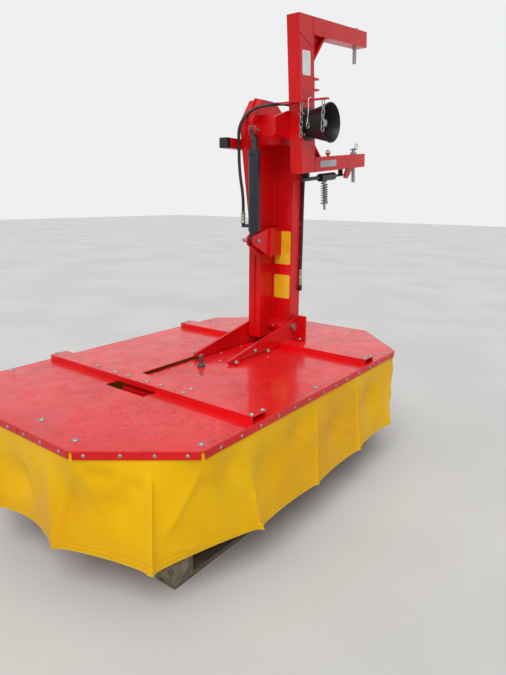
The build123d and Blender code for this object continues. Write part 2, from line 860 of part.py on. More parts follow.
rod += bar_y(0, reach_now, -rod_eye_half, rod_eye_half, rod_eye_radius)
rod -= bar_y(0, reach_now, -rod_eye_half - hide, rod_eye_half + hide, lift_pin_radius + eye_gap)
save(along_cylinder(rod), "cylinder_rod")

# Trip device under the lower arm: a tube with a thicker body, a rod to the keeper and a sprung plunger
trip = bar_x(trip_tube_end, trip_body_start, pin_y, trip_z, trip_tube_radius)
trip += bar_x(trip_body_start, trip_body_end, pin_y, trip_z, trip_body_radius)
trip += bar_x(trip_body_end, trip_rod_end, pin_y, trip_z, trip_rod_radius)
for x in (trip_tube_end - trip_tab_inset, trip_rod_end + trip_tab_inset / 2):
    tab_y = (pin_y - trip_tab_half, pin_y + trip_tab_half)
    trip += box(x - trip_tab, x + trip_tab, *tab_y, trip_z, post_bottom)
save(leaned(trip), "trip_tube")
body_foot = trip_z - trip_body_radius
collar_foot = body_foot - spring_collar
plunger = bar_z(plunger_x, pin_y, plunger_tip, body_foot, trip_rod_radius)
plunger += bar_z(plunger_x, pin_y, collar_foot, body_foot, spring_collar_radius)
plunger += bar_z(plunger_x, pin_y, spring_seat - spring_washer, spring_seat, spring_washer_radius)
save(leaned(plunger), "trip_plunger")
coil_low = spring_seat + seat_gap + spring_wire_radius
coil_height = collar_foot - seat_gap - spring_wire_radius - coil_low
coil = Helix(pitch=coil_height / spring_turns, height=coil_height, radius=spring_radius)
wire = sweep(Plane(origin=coil @ 0, z_dir=coil % 0) * Circle(spring_wire_radius), path=coil, is_frenet=True)
save(leaned(Pos(plunger_x, pin_y, coil_low) * wire), "trip_spring")

# Hose from the barrel's port over the head and down the side of the arm
port_x = clevis_x + (port_rise + port_nipple) * math.sin(math.radians(tilt))
port_y = cylinder_y - port_reach
hose_side = arm_half + hose_diameter / 2 + seat_gap
hose_route = [
    (port_x, port_y, clevis_z + port_rise + port_nipple + seat_gap),
    (port_x, port_y, 1425),
    (-300, -80, 1570),
    (-298, -82, 1690),
    (-288, -76, 1785),
    (-335, -30, 1868),
    (-420, 50, 1894),
    (-505, 112, 1896),
    (-590, 114, 1835),
    (-628, 112, 1720),
    (-632, hose_side, 1590),
    (-628, hose_side, 1380),
    (-630, hose_side, 1180),
    (-627, hose_side, 985),
]


def cord(points, diameter, name):
    # A round cord on straight runs and arcs that touch them
    radii = []
    for before, corner, after in zip(points, points[1:], points[2:]):
        came = Vector(*corner) - Vector(*before)
        goes = Vector(*after) - Vector(*corner)
        half_turn = math.radians(came.get_angle(goes)) / 2
        radii.append(0.45 * min(came.length, goes.length) / math.tan(half_turn))
    route = FilletPolyline(*points, radius=radii)
    shape = sweep(Plane(origin=route @ 0, z_dir=route % 0) * Circle(diameter / 2), path=route)
    whole = shape.volume / (math.pi * diameter**2 / 4 * route.length)
    print(name, "length", round(route.length), "volume over section times length", round(whole, 4))
    print(name, "radii", [round(radius) for radius in radii])
    save(shape, name)


cord(hose_route, hose_diameter, "lift_hose")
print("cylinder", round(reach_now, 1), "tilt", round(tilt, 2), "eye", round(lift_x, 1), round(lift_z, 1))
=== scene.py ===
import bpy
import bmesh
import math
from mathutils import Matrix, Vector


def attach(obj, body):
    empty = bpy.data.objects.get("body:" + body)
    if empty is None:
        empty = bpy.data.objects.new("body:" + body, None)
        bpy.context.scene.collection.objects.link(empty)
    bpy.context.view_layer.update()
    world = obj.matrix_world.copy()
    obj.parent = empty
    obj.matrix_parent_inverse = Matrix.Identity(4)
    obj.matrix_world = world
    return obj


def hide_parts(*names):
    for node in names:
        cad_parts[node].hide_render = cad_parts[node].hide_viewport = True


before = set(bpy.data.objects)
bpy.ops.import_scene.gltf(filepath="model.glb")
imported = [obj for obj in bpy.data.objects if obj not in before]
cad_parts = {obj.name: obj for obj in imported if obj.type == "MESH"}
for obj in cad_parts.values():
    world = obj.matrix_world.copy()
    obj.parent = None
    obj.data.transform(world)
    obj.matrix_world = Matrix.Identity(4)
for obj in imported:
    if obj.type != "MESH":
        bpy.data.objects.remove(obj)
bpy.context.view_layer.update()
scene = bpy.context.scene

# Camera at the photograph's place, angle and lens
CAMERA = Vector((2.0003, 1.7703, 1.4315))
FORWARD = Vector((-0.77026148, -0.58605338, -0.25147304))
RIGHT = Vector((-0.60742472, 0.79432177, 0.0093883))
camera_data = bpy.data.cameras.new("camera")
camera_data.lens = 28.796
camera_data.sensor_width = 36
camera_data.clip_end = 200
camera = bpy.data.objects.new("camera", camera_data)
scene.collection.objects.link(camera)
right = RIGHT.normalized()
back = -FORWARD.normalized()
up = back.cross(right)
camera.matrix_world = Matrix((
    (right.x, up.x, back.x, CAMERA.x),
    (right.y, up.y, back.y, CAMERA.y),
    (right.z, up.z, back.z, CAMERA.z),
    (0, 0, 0, 1),
))
scene.camera = camera
scene.view_settings.view_transform = "Standard"

# Frame sizes in metres that the pieces here sit on
DECK = 0.620
DECK_CORNERS = (
    (1.078, -0.312), (1.078, 0.312), (0.802, 0.66), (-0.752, 0.66),
    (-1.078, 0.326), (-1.078, -0.326), (-0.752, -0.66), (0.802, -0.66),
)
DRIVE = Vector((-0.48, 0, 1.79))
LEAN = math.radians(5.5)


def leaned(x, y, z):
    # A hitch point, given upright about the drive axis, at its parked lean
    cos, sin = math.cos(LEAN), math.sin(LEAN)
    return DRIVE + Vector((x * cos + z * sin, y, z * cos - x * sin))


# Materials

class Tree:
    # The nodes of one material: each method adds a node or a few, and gives back the last one's output
    def __init__(self, name):
        self.mat = bpy.data.materials.new(name)
        self.mat.use_nodes = True
        self.nt = self.mat.node_tree
        self.nt.nodes.clear()
        self.out = self.nt.nodes.new("ShaderNodeOutputMaterial")
        self.bsdf = self.nt.nodes.new("ShaderNodeBsdfPrincipled")
        self.nt.links.new(self.bsdf.outputs[0], self.out.inputs["Surface"])
        self.coord = self.nt.nodes.new("ShaderNodeTexCoord")
        self.obj = self.coord.outputs["Object"]

    def put(self, node, key, value):
        socket = node.inputs[key]
        if isinstance(value, bpy.types.NodeSocket):
            self.nt.links.new(value, socket)
        else:
            socket.default_value = value

    def node(self, kind, props=None, **values):
        # Inputs are named as on the node, with _ for a space, or i0, i1 and so on by their place
        n = self.nt.nodes.new(kind)
        for key, value in (props or {}).items():
            setattr(n, key, value)
        for key, value in values.items():
            by_place = key[0] == "i" and key[1:].isdigit()
            self.put(n, int(key[1:]) if by_place else key.replace("_", " "), value)
        return n

    def math(self, op, a, b=0.0, clamp=False):
        n = self.node("ShaderNodeMath", {"operation": op, "use_clamp": clamp}, i0=a, i1=b)
        return n.outputs[0]

    def times(self, a, b):
        return self.math("MULTIPLY", a, b)

    def span(self, value, low, high, to_low=0.0, to_high=1.0, smooth=True):
        n = self.node(
            "ShaderNodeMapRange", {"interpolation_type": "SMOOTHSTEP" if smooth else "LINEAR"},
            i0=value, i1=low, i2=high, i3=to_low, i4=to_high,
        )
        return n.outputs[0]

    def noise(self, scale, detail=2.0, rough=0.5, where=None, distortion=0.0):
        n = self.node(
            "ShaderNodeTexNoise", Vector=where or self.obj, Scale=scale, Detail=detail,
            Roughness=rough, Distortion=distortion,
        )
        return n.outputs["Fac"]

    def mix(self, fac, a, b):
        n = self.nt.nodes.new("ShaderNodeMix")
        n.data_type = "RGBA"
        self.put(n, 0, fac)
        self.put(n, 6, a)
        self.put(n, 7, b)
        return n.outputs[2]

    def stretch(self, x, y, z):
        return self.node("ShaderNodeMapping", Vector=self.obj, Scale=(x, y, z)).outputs[0]

    def axis(self, which, source=None):
        return self.node("ShaderNodeSeparateXYZ", i0=source or self.obj).outputs[which]

    def bump(self, height, strength, distance, normal=None):
        n = self.node("ShaderNodeBump", Strength=strength, Distance=distance, Height=height)
        if normal is not None:
            self.put(n, "Normal", normal)
        return n.outputs[0]

    def rounded(self, radius):
        return self.node("ShaderNodeBevel", {"samples": 4}, Radius=radius).outputs[0]

    def edges(self, radius, low=0.80, high=0.97):
        # 1 along convex edges, from how far the rounded normal turns from the true one
        rounded = self.rounded(radius)
        true = self.node("ShaderNodeNewGeometry").outputs["Normal"]
        dot = self.node("ShaderNodeVectorMath", {"operation": "DOT_PRODUCT"}, i0=rounded, i1=true)
        return self.span(dot.outputs["Value"], high, low)

    def up_facing(self, low, high):
        return self.span(self.axis(2, self.coord.outputs["Normal"]), low, high)

    def tones(self, scale, detail, low, high, first, second):
        # Two colours that run into each other
        return self.mix(self.span(self.noise(scale, detail), low, high), first, second)

    def patches(self, share, scale, detail, rough, low, high):
        # Soft patches that reach the share at their middle
        return self.times(self.span(self.noise(scale, detail, rough), low, high), share)

    def uneven(self, scale, detail, low, high):
        # A value that wanders between low and high
        return self.span(self.noise(scale, detail), 0.3, 0.7, low, high)

    def set(self, **values):
        for key, value in values.items():
            self.put(self.bsdf, key.replace("_", " "), value)


def rgb(r, g, b):
    # From screen values, 0 to 255, to the linear colour a socket takes
    def linear(c):
        c /= 255
        return c / 12.92 if c <= 0.04045 else ((c + 0.055) / 1.055) ** 2.4
    return (linear(r), linear(g), linear(b), 1.0)


def toned(shade, share):
    return rgb(*[int(c * share) for c in shade])


def drops(t, scale, least, most, share):
    # Heights of round drops, one in some cells of a Voronoi pattern
    cells = t.node("ShaderNodeTexVoronoi", Vector=t.obj, Scale=scale)
    pick = t.node("ShaderNodeSeparateColor", i0=cells.outputs["Color"])
    radius = t.span(pick.outputs[0], 0.0, 1.0, least, most, smooth=False)
    ratio = t.math("DIVIDE", cells.outputs["Distance"], radius)
    dome = t.math("SQRT", t.math("SUBTRACT", 1.0, t.times(ratio, ratio), clamp=True))
    chosen = t.math("LESS_THAN", pick.outputs[1], share)
    return t.times(dome, chosen)


def red_paint(name, coat_weight, shine, rain_depth, shade, deep):
    t = Tree(name)
    base = t.tones(3.1, 3.0, 0.3, 0.7, rgb(*shade), rgb(*deep))
    base = t.mix(t.patches(0.25, 46.0, 2.0, 0.5, 0.55, 0.8), base, rgb(166, 6, 10))

    # Edges: a painted highlight of paler red along every convex edge, worn chips on them, and grime
    edge_wear_and_highlight = t.edges(0.0025)
    chips = t.span(t.noise(60.0, 4.0, 0.7), 0.60, 0.66)
    # Painted highlight: paler red along every convex edge, where the gloss catches the light
    base = t.mix(t.times(edge_wear_and_highlight, 0.28), base, rgb(240, 70, 66))
    base = t.mix(t.times(t.times(edge_wear_and_highlight, chips), 0.8), base, rgb(120, 92, 84))
    base = t.mix(t.patches(0.30, 5.0, 6.0, 0.65, 0.56, 0.78), base, rgb(140, 30, 26))

    # Rain: drops of two sizes, most of them on top faces, and wet blots
    top = t.up_facing(0.6, 0.9)
    small = drops(t, 118.0, 0.20, 0.44, 0.80)
    large = drops(t, 52.0, 0.14, 0.40, 0.60)
    patch = t.span(t.noise(5.0, 3.0), 0.40, 0.60)
    rain = t.math("MAXIMUM", t.times(small, 0.6), large)
    rain = t.times(rain, t.span(top, 0, 1, 0.04, 1.0))
    rain = t.times(rain, t.span(patch, 0, 1, 0.35, 1.0))
    base = t.mix(t.times(t.math("GREATER_THAN", rain, 0.05), 0.34), base, rgb(170, 0, 6))
    blots = t.span(t.noise(34.0, 3.0, 0.62, None, 0.8), 0.585, 0.610)
    blots = t.times(t.times(blots, top), t.span(t.noise(3.4, 2.0), 0.44, 0.58))
    base = t.mix(t.times(blots, 0.42), base, rgb(146, 0, 10))
    rain = t.math("MAXIMUM", rain, t.times(blots, 0.5))

    # The paint's own relief, and the coat's over it, with the waves of the sheet and the rain
    relief = t.bump(t.noise(260.0, 2.0), 0.10, 0.0006, t.rounded(0.0025))
    waves = t.bump(t.noise(14.0, 4.0, 0.6), 0.25, 0.0016, relief)
    t.set(
        Base_Color=base, Roughness=t.uneven(11.0, 4.0, 0.30, 0.46), Normal=relief,
        Specular_IOR_Level=shine, Coat_Weight=coat_weight, Coat_Roughness=0.06, Coat_IOR=1.42,
        Coat_Normal=t.bump(rain, 0.9, rain_depth, waves),
    )
    return t.mat


def zinc_plate(name, shade, rough):
    t = Tree(name)
    base = t.tones(120.0, 3.0, 0.3, 0.7, rgb(*shade), toned(shade, 0.82))
    base = t.mix(t.patches(0.4, 35.0, 4.0, 0.6, 0.58, 0.75), base, rgb(132, 112, 84))
    base = t.mix(t.times(t.edges(0.0012), 0.4), base, rgb(226, 226, 222))
    t.set(
        Base_Color=base, Metallic=0.9, Roughness=t.uneven(60.0, 3.0, rough - 0.06, rough + 0.12),
        Normal=t.bump(t.noise(400.0, 2.0), 0.12, 0.0004, t.rounded(0.0010)),
    )
    return t.mat


def black_coat(name, shade, rough, gloss, edge):
    t = Tree(name)
    base = t.tones(18.0, 4.0, 0.35, 0.7, rgb(*shade), toned(shade, 1.35))
    base = t.mix(t.patches(0.12, 9.0, 5.0, 0.65, 0.5, 0.75), base, rgb(76, 76, 76))
    base = t.mix(t.times(t.edges(0.0016), 0.55), base, rgb(*edge))
    t.set(
        Base_Color=base, Coat_Weight=gloss, Coat_Roughness=0.08,
        Roughness=t.uneven(40.0, 3.0, rough - 0.05, rough + 0.12),
        Normal=t.bump(t.noise(300.0, 2.0), 0.10, 0.0005, t.rounded(0.0014)),
    )
    return t.mat


def hose_rubber():
    t = Tree("hose_rubber")
    base = t.tones(40.0, 3.0, 0.35, 0.7, rgb(24, 24, 26), rgb(40, 40, 42))
    base = t.mix(t.patches(0.3, 14.0, 5.0, 0.6, 0.52, 0.75), base, rgb(92, 90, 86))
    wrap = t.node(
        "ShaderNodeTexWave", {"bands_direction": "Z"},
        Vector=t.obj, Scale=190.0, Distortion=0.6, Detail=1.0,
    )
    height = t.math("ADD", t.times(wrap.outputs["Fac"], 0.6), t.noise(500.0, 2.0))
    t.set(
        Base_Color=base, Roughness=t.uneven(60.0, 3.0, 0.42, 0.58), Specular_IOR_Level=0.45,
        Normal=t.bump(height, 0.25, 0.0004),
    )
    return t.mat


def bare_steel():
    t = Tree("bare_steel")
    base = t.tones(14.0, 4.0, 0.35, 0.7, rgb(150, 150, 150), rgb(105, 105, 105))
    base = t.mix(t.patches(0.6, 22.0, 6.0, 0.7, 0.55, 0.7), base, rgb(110, 66, 40))
    base = t.mix(t.times(t.edges(0.002), 0.6), base, rgb(196, 196, 192))
    scratches = t.noise(30.0, 4.0, 0.7, t.stretch(1.0, 18.0, 1.0))
    t.set(
        Base_Color=base, Metallic=0.85, Roughness=t.uneven(25.0, 4.0, 0.34, 0.62),
        Normal=t.bump(scratches, 0.20, 0.0006, t.rounded(0.0016)),
    )
    return t.mat


def weathered_wood(name, grain_scale):
    # The grain runs along the axis with the small scale
    t = Tree(name)
    along = t.stretch(*grain_scale)
    grain = t.noise(3.0, 8.0, 0.62, along, 0.4)
    fibre = t.noise(11.0, 5.0, 0.7, along)
    base = t.mix(t.span(grain, 0.30, 0.70), rgb(158, 142, 118), rgb(104, 92, 78))
    base = t.mix(t.times(t.span(fibre, 0.45, 0.75), 0.6), base, rgb(78, 68, 58))
    base = t.mix(t.patches(0.5, 2.2, 4.0, 0.5, 0.42, 0.66), base, rgb(122, 120, 104))
    # Darker towards the bottom
    low_darkening = t.times(t.span(t.axis(2), 0.05, 0.0), 0.5)
    base = t.mix(low_darkening, base, rgb(66, 60, 52))
    base = t.mix(t.times(t.edges(0.003), 0.5), base, rgb(186, 172, 148))
    height = t.math("ADD", grain, t.times(fibre, 0.7))
    t.set(
        Base_Color=base, Roughness=t.span(fibre, 0.3, 0.7, 0.72, 0.92), Specular_IOR_Level=0.3,
        Normal=t.bump(height, 0.6, 0.0018, t.rounded(0.003)),
    )
    return t.mat


def skirt_cloth():
    t = Tree("skirt_cloth")
    base = t.tones(2.4, 3.0, 0.35, 0.68, rgb(238, 184, 0), rgb(226, 166, 0))
    base = t.mix(t.patches(0.16, 8.0, 5.0, 0.6, 0.50, 0.80), base, rgb(184, 148, 46))
    # Painted shade: darker, more orange cloth towards the hem
    low = t.times(t.span(t.axis(2), 0.30, 0.20), 0.20)
    base = t.mix(low, base, rgb(196, 138, 8))

    # The weave, and the uneven hang of the cloth
    weave_x = t.node(
        "ShaderNodeTexWave", {"bands_direction": "DIAGONAL"}, Vector=t.stretch(1, -1, 0), Scale=420.0,
    )
    weave_z = t.node("ShaderNodeTexWave", {"bands_direction": "Z"}, Vector=t.obj, Scale=420.0)
    relief = t.bump(t.times(weave_x.outputs["Fac"], weave_z.outputs["Fac"]), 0.10, 0.0004)
    relief = t.bump(t.noise(24.0, 4.0, 0.5), 0.30, 0.0016, relief)
    relief = t.bump(t.noise(9.0, 3.0, 0.5, t.stretch(1, 1, 0.35)), 0.30, 0.006, relief)

    # The weld line above the hem, and a painted highlight along the hem's bottom edge
    seam = t.times(t.span(t.axis(2), 0.2375, 0.2400), t.span(t.axis(2), 0.2440, 0.2415))
    base = t.mix(t.times(seam, 0.45), base, rgb(176, 122, 6))
    # Painted highlight: a pale yellow line along the bottom edge of the hem
    edge = t.span(t.axis(2), 0.2160, 0.2130)
    base = t.mix(t.times(edge, 0.55), base, rgb(246, 214, 60))
    t.set(
        Base_Color=base, Roughness=t.uneven(13.0, 3.0, 0.38, 0.52), Normal=relief,
        Specular_IOR_Level=0.15,
    )
    return t.mat


def blank_label(name, shade, edge):
    t = Tree(name)
    base = t.tones(20.0, 3.0, 0.35, 0.7, rgb(*shade), toned(shade, 0.94))
    base = t.mix(t.patches(0.35, 90.0, 4.0, 0.7, 0.60, 0.72), base, rgb(*edge))
    t.set(
        Base_Color=base, Roughness=t.uneven(30.0, 2.0, 0.30, 0.45), Coat_Weight=0.5,
        Normal=t.bump(t.noise(120.0, 2.0), 0.10, 0.0005),
    )
    return t.mat


RED = red_paint("red_paint", 0.20, 0.26, 0.0016, (222, 7, 14), (200, 4, 12))
WET_RED = red_paint("wet_red_paint", 0.52, 0.30, 0.0040, (236, 5, 12), (218, 2, 9))
ZINC = zinc_plate("zinc", (176, 176, 172), 0.32)
DARK_ZINC = zinc_plate("dark_zinc", (128, 128, 128), 0.40)
SPRING = zinc_plate("spring_steel", (84, 86, 90), 0.36)
BLACK_STEEL = black_coat("black_steel", (12, 18, 32), 0.34, 0.08, (48, 54, 64))
# Painted reflection: the chrome rod is given a dark glossy coat for the dark surroundings it mirrors
ROD = black_coat("rod_dark", (20, 24, 34), 0.24, 0.5, (80, 84, 92))
PLASTIC = black_coat("black_plastic", (20, 20, 22), 0.46, 0.0, (58, 58, 60))
HOSE = hose_rubber()
STEEL = bare_steel()
BOARDS = weathered_wood("wood_boards", (1.4, 22.0, 22.0))
CROSS = weathered_wood("wood_cross", (22.0, 1.4, 22.0))
BLOCKS = weathered_wood("wood_blocks", (14.0, 9.0, 9.0))
CLOTH = skirt_cloth()
YELLOW_LABEL = blank_label("yellow_label", (238, 200, 24), (190, 150, 20))
WHITE_LABEL = blank_label("white_label", (226, 228, 230), (160, 164, 168))
GREY_PLATE = blank_label("grey_plate", (168, 170, 172), (110, 112, 114))

NODE_MATERIALS = (
    (WET_RED, "cross_bars deck_end deck_sides gear_cover"),
    (RED, "arm_foot arm_head arm_tube belt_housing cylinder_clevis disc_inner disc_outer drum_hubs "
          "drum_inner drum_outer edge_rails gear_beam hinge_brackets hitch_arm_lower hitch_arm_upper "
          "hitch_post lift_lever shaft_shelf stand_bar top_link_ears"),
    (STEEL, "blades_inner blades_outer glide_dishes"),
    (ZINC, "clevis_pin hinge_pin lift_pin linch_pin link_pin_lower link_pin_upper shackle guard_chains "
           "trip_plunger drive_shaft"),
    (DARK_ZINC, "oil_filler"),
    (SPRING, "trip_spring"),
    (BLACK_STEEL, "cylinder_barrel trip_tube"),
    (ROD, "cylinder_rod"),
    (PLASTIC, "drive_guard stand_plug"),
    (HOSE, "lift_hose"),
    (BOARDS, "pallet_boards"),
    (CROSS, "pallet_stringers"),
    (BLOCKS, "pallet_blocks"),
)
for mat, names in NODE_MATERIALS:
    for name in names.split():
        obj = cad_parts[name]
        obj.data.materials.clear()
        obj.data.materials.append(mat)


# Radii of the heads of bolts, nuts, screws and nails
RAIL_HEAD = 0.0050
COVER_HEAD = 0.0060
BEARING_HEAD = 0.0075
HINGE_HEAD = 0.0080
BAR_HEAD = 0.0085
DECK_HEAD = 0.0095
PIN_NUT = 0.0115
BLADE_HEAD = 0.0115
SCREW_HEAD = 0.0048
NAIL_HEAD = 0.0030

# Directions in the object's frame
UP = (0, 0, 1)
DOWN = (0, 0, -1)
FRONT = (0, 1, 0)
REAR = (0, -1, 0)
OUT = (1, 0, 0)


# Mesh helpers

def piece(name, bm, mat, body, smooth=None):
    # One object from a mesh, shaded smooth up to an angle in degrees where that is given
    mesh = bpy.data.meshes.new(name)
    bm.normal_update()
    bm.to_mesh(mesh)
    bm.free()
    mesh.materials.append(mat)
    obj = bpy.data.objects.new(name, mesh)
    scene.collection.objects.link(obj)
    if smooth is not None:
        for poly in mesh.polygons:
            poly.use_smooth = True
        mesh.set_sharp_from_angle(angle=math.radians(smooth))
    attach(obj, body)
    return obj


def turned_to(axis):
    # A turn that takes +Z to the axis
    return Vector(UP).rotation_difference(Vector(axis).normalized()).to_matrix().to_4x4()


def round_point(radius, i, count):
    # Point i of count round a circle
    angle = math.tau * i / count
    return radius * math.cos(angle), radius * math.sin(angle)


def ring(bm, matrix, radius, height, sides):
    return [bm.verts.new(matrix @ Vector((*round_point(radius, i, sides), height))) for i in range(sides)]


def join(bm, low, high):
    # Faces between two rings of as many points
    count = len(low)
    for i in range(count):
        j = (i + 1) % count
        bm.faces.new((low[i], low[j], high[j], high[i]))


def tube(bm, rings):
    # Rings joined one after another, and closed at both ends
    for low, high in zip(rings, rings[1:]):
        join(bm, low, high)
    bm.faces.new(rings[0][::-1])
    bm.faces.new(rings[-1])


def lathe(bm, profile, sides, place, axis):
    # Rings of (radius, height) turned about an axis that starts at place
    matrix = Matrix.Translation(place) @ turned_to(axis)
    rings = []
    for radius, height in profile:
        if radius == 0:
            rings.append([bm.verts.new(matrix @ Vector((0, 0, height)))])
        else:
            rings.append(ring(bm, matrix, radius, height, sides))
    for low, high in zip(rings, rings[1:]):
        if len(low) == len(high):
            join(bm, low, high)
            continue
        for i in range(sides):
            j = (i + 1) % sides
            bm.faces.new((low[0], high[i], high[j]) if len(low) == 1 else (low[i], low[j], high[0]))


def dome_bolt(bm, place, axis, radius):
    # A washer with a low round head over it
    lathe(bm, (
        (0, -0.001), (radius * 1.35, -0.001), (radius * 1.35, 0.0014), (radius * 1.0, 0.0018),
        (radius * 0.96, radius * 0.34), (radius * 0.74, radius * 0.60), (radius * 0.38, radius * 0.72),
        (0, radius * 0.74),
    ), 14, place, axis)


def hex_bolt(bm, place, axis, radius):
    # A washer, a six-sided head with a chamfer, and a stub of thread
    washer = radius * 1.45
    lathe(bm, ((0, -0.001), (washer, -0.001), (washer, 0.002), (radius * 0.9, 0.002)), 18, place, axis)
    matrix = Matrix.Translation(place) @ turned_to(axis)
    top = radius * 0.85
    low, chamfer, high = [
        ring(bm, matrix, radius * size, height, 6)
        for size, height in ((1.0, 0.002), (1.0, top * 0.8), (0.88, top))
    ]
    join(bm, low, chamfer)
    join(bm, chamfer, high)
    bm.faces.new(high)
    lathe(bm, (
        (radius * 0.5, top), (radius * 0.5, top + radius * 0.35), (radius * 0.42, top + radius * 0.45),
        (0, top + radius * 0.45),
    ), 12, place, axis)


def fasteners(name, table, kind, mat, body):
    # Bolts of one kind, each a place, an axis and a radius, as one piece
    bm = bmesh.new()
    for place, axis, radius in table:
        kind(bm, Vector(place), Vector(axis), radius)
    return piece(name, bm, mat, body, smooth=40)


def block(bm, x0, x1, y0, y1, z0, z1, matrix=None):
    # A box between the lowest and highest values, moved by the matrix where one is given
    corners = [Vector((x, y, z)) for x in (x0, x1) for y in (y0, y1) for z in (z0, z1)]
    v = [bm.verts.new(matrix @ c if matrix else c) for c in corners]
    for a, b, c, d in ((0, 1, 3, 2), (4, 6, 7, 5), (0, 4, 5, 1), (2, 3, 7, 6), (0, 2, 6, 4), (1, 5, 7, 3)):
        bm.faces.new((v[a], v[b], v[c], v[d]))


def rod(bm, points, radius, sides, closed=False):
    # A round wire along points, without twist
    points = [Vector(point) for point in points]
    count = len(points)
    rings = []
    side = None
    for i, point in enumerate(points):
        if closed:
            ahead = points[(i + 1) % count] - points[i - 1]
        else:
            ahead = points[min(i + 1, count - 1)] - points[max(i - 1, 0)]
        ahead.normalize()
        if side is None:
            side = ahead.orthogonal().normalized()
        side = (side - ahead * side.dot(ahead)).normalized()
        other = ahead.cross(side)
        rings.append([
            bm.verts.new(point + side * across + other * along)
            for across, along in (round_point(radius, k, sides) for k in range(sides))
        ])
    if closed:
        for low, high in zip(rings, rings[1:] + rings[:1]):
            join(bm, low, high)
    else:
        tube(bm, rings)


def plate(bm, corners, normal, thick, cut=0.006):
    # A thin sheet with its four corners cut, standing on the plane of its corners
    corners = [Vector(point) for point in corners]
    outline = []
    for i, here in enumerate(corners):
        for other in (corners[i - 1], corners[(i + 1) % 4]):
            outline.append(here + (other - here).normalized() * cut)
    lift = Vector(normal).normalized() * thick
    low = [bm.verts.new(point) for point in outline]
    high = [bm.verts.new(point + lift) for point in outline]
    tube(bm, [low, high])


def plates(name, table, mat, body, thick=0.0005):
    bm = bmesh.new()
    for corners, normal in table:
        plate(bm, corners, normal, thick)
    return piece(name, bm, mat, body)


def upright(x, y0, y1, z0, z1):
    # Corners of an upright sheet that faces along X
    return ((x, y0, z0), (x, y1, z0), (x, y1, z1), (x, y0, z1))


WELD_DROP = 0.0035


def bead(bm, points, radius):
    # A weld bead: a tube along a line, whose girth swells at each drop of the weld
    spots = []
    for a, b in zip(points, points[1:]):
        count = max(2, round((b - a).length / WELD_DROP))
        spots += [a.lerp(b, i / count) for i in range(count)]
    spots.append(points[-1])
    last = len(spots) - 1
    rings = []
    for i, spot in enumerate(spots):
        ahead = spots[min(i + 1, last)] - spots[max(i - 1, 0)]
        girth = 0.45 if i in (0, last) else 1.12 if i % 2 else 0.86
        rings.append(ring(bm, Matrix.Translation(spot) @ turned_to(ahead), radius * girth, 0, 6))
    tube(bm, rings)


def welds(name, lines, radius, body):
    bm = bmesh.new()
    for line in lines:
        bead(bm, [Vector(point) for point in line], radius)
    return piece(name, bm, RED, body, smooth=60)


# Skirt of coated cloth: clamped behind the rails, creased where it lay folded, with a welded hem
SKIRT_TOP = 0.6157
RAIL_LOW = 0.588
HEM_Z = 0.210
HEM_BAND = 0.030
HEM_FOLDS = (
    # edge of the deck, share along it, how far the hem stands out there, how far it sags in after it
    (0, 0.12, 0.004, 0.045),
    (0, 0.79, 0.018, 0.016),
    (1, 0.60, 0.080, 0.010),
    (2, 0.17, 0.040, 0.012),
    (2, 0.44, 0.043, 0.012),
    (2, 0.71, 0.034, 0.016),
    (2, 0.96, 0.020, 0.018),
    (3, 0.63, 0.070, 0.022),
    (4, 0.32, 0.030, 0.030),
    (4, 0.93, 0.014, 0.018),
    (5, 0.68, 0.064, 0.016),
    (6, 0.15, 0.042, 0.012),
    (6, 0.41, 0.038, 0.020),
    (6, 0.68, 0.045, 0.012),
    (6, 0.93, 0.034, 0.018),
    (7, 0.47, 0.066, 0.014),
)
FOLD_LINES = (
    # run along the deck's edge and drop below the deck at both ends, width, how far it stands out
    (0.624, 0.03, 0.515, 0.40, 0.013, 0.007),
    (0.624, 0.03, 0.760, 0.30, 0.016, 0.005),
    (1.068, 0.03, 0.905, 0.34, 0.014, 0.007),
    (1.068, 0.03, 1.330, 0.41, 0.013, 0.008),
    (1.068, 0.03, 1.190, 0.24, 0.012, 0.004),
    (0.890, 0.05, 0.890, 0.41, 0.010, 0.010),
    (1.296, 0.14, 1.334, 0.41, 0.008, 0.008),
    (1.795, 0.04, 1.754, 0.41, 0.009, 0.007),
    (2.182, 0.04, 2.172, 0.41, 0.009, 0.007),
    (1.516, 0.06, 1.772, 0.245, 0.016, 0.005),
    (1.782, 0.11, 2.168, 0.320, 0.016, 0.005),
    (0.650, 0.075, 0.785, 0.118, 0.032, -0.006),
    (0.785, 0.118, 0.872, 0.140, 0.028, -0.004),
    (0.925, 0.355, 0.990, 0.385, 0.008, 0.004),
    (1.745, 0.028, 1.772, 0.060, 0.012, -0.004),
    (0.150, 0.05, 0.080, 0.40, 0.016, 0.005),
    (0.300, 0.06, 0.360, 0.36, 0.020, 0.004),
    (2.400, 0.10, 2.520, 0.36, 0.016, 0.005),
    (2.622, 0.03, 2.555, 0.40, 0.013, 0.007),
    (3.089, 0.03, 2.930, 0.38, 0.013, 0.007),
    (2.915, 0.05, 2.915, 0.41, 0.010, 0.009),
    (3.310, 0.05, 3.296, 0.41, 0.010, 0.007),
    (3.741, 0.03, 3.695, 0.41, 0.011, 0.008),
    (3.741, 0.03, 3.900, 0.34, 0.014, 0.006),
    (4.055, 0.05, 4.058, 0.41, 0.010, 0.009),
    (4.208, 0.03, 4.120, 0.36, 0.014, 0.006),
    (4.208, 0.03, 4.430, 0.41, 0.013, 0.008),
    (4.620, 0.08, 4.830, 0.30, 0.016, 0.005),
    (4.850, 0.05, 4.845, 0.41, 0.009, 0.007),
    (5.262, 0.05, 5.264, 0.41, 0.009, 0.007),
    (5.010, 0.09, 5.240, 0.28, 0.016, 0.005),
    (5.650, 0.05, 5.655, 0.41, 0.009, 0.007),
    (5.762, 0.03, 5.930, 0.40, 0.013, 0.007),
    (5.971, 0.05, 5.971, 0.41, 0.010, 0.009),
    (6.206, 0.03, 6.060, 0.36, 0.014, 0.006),
)
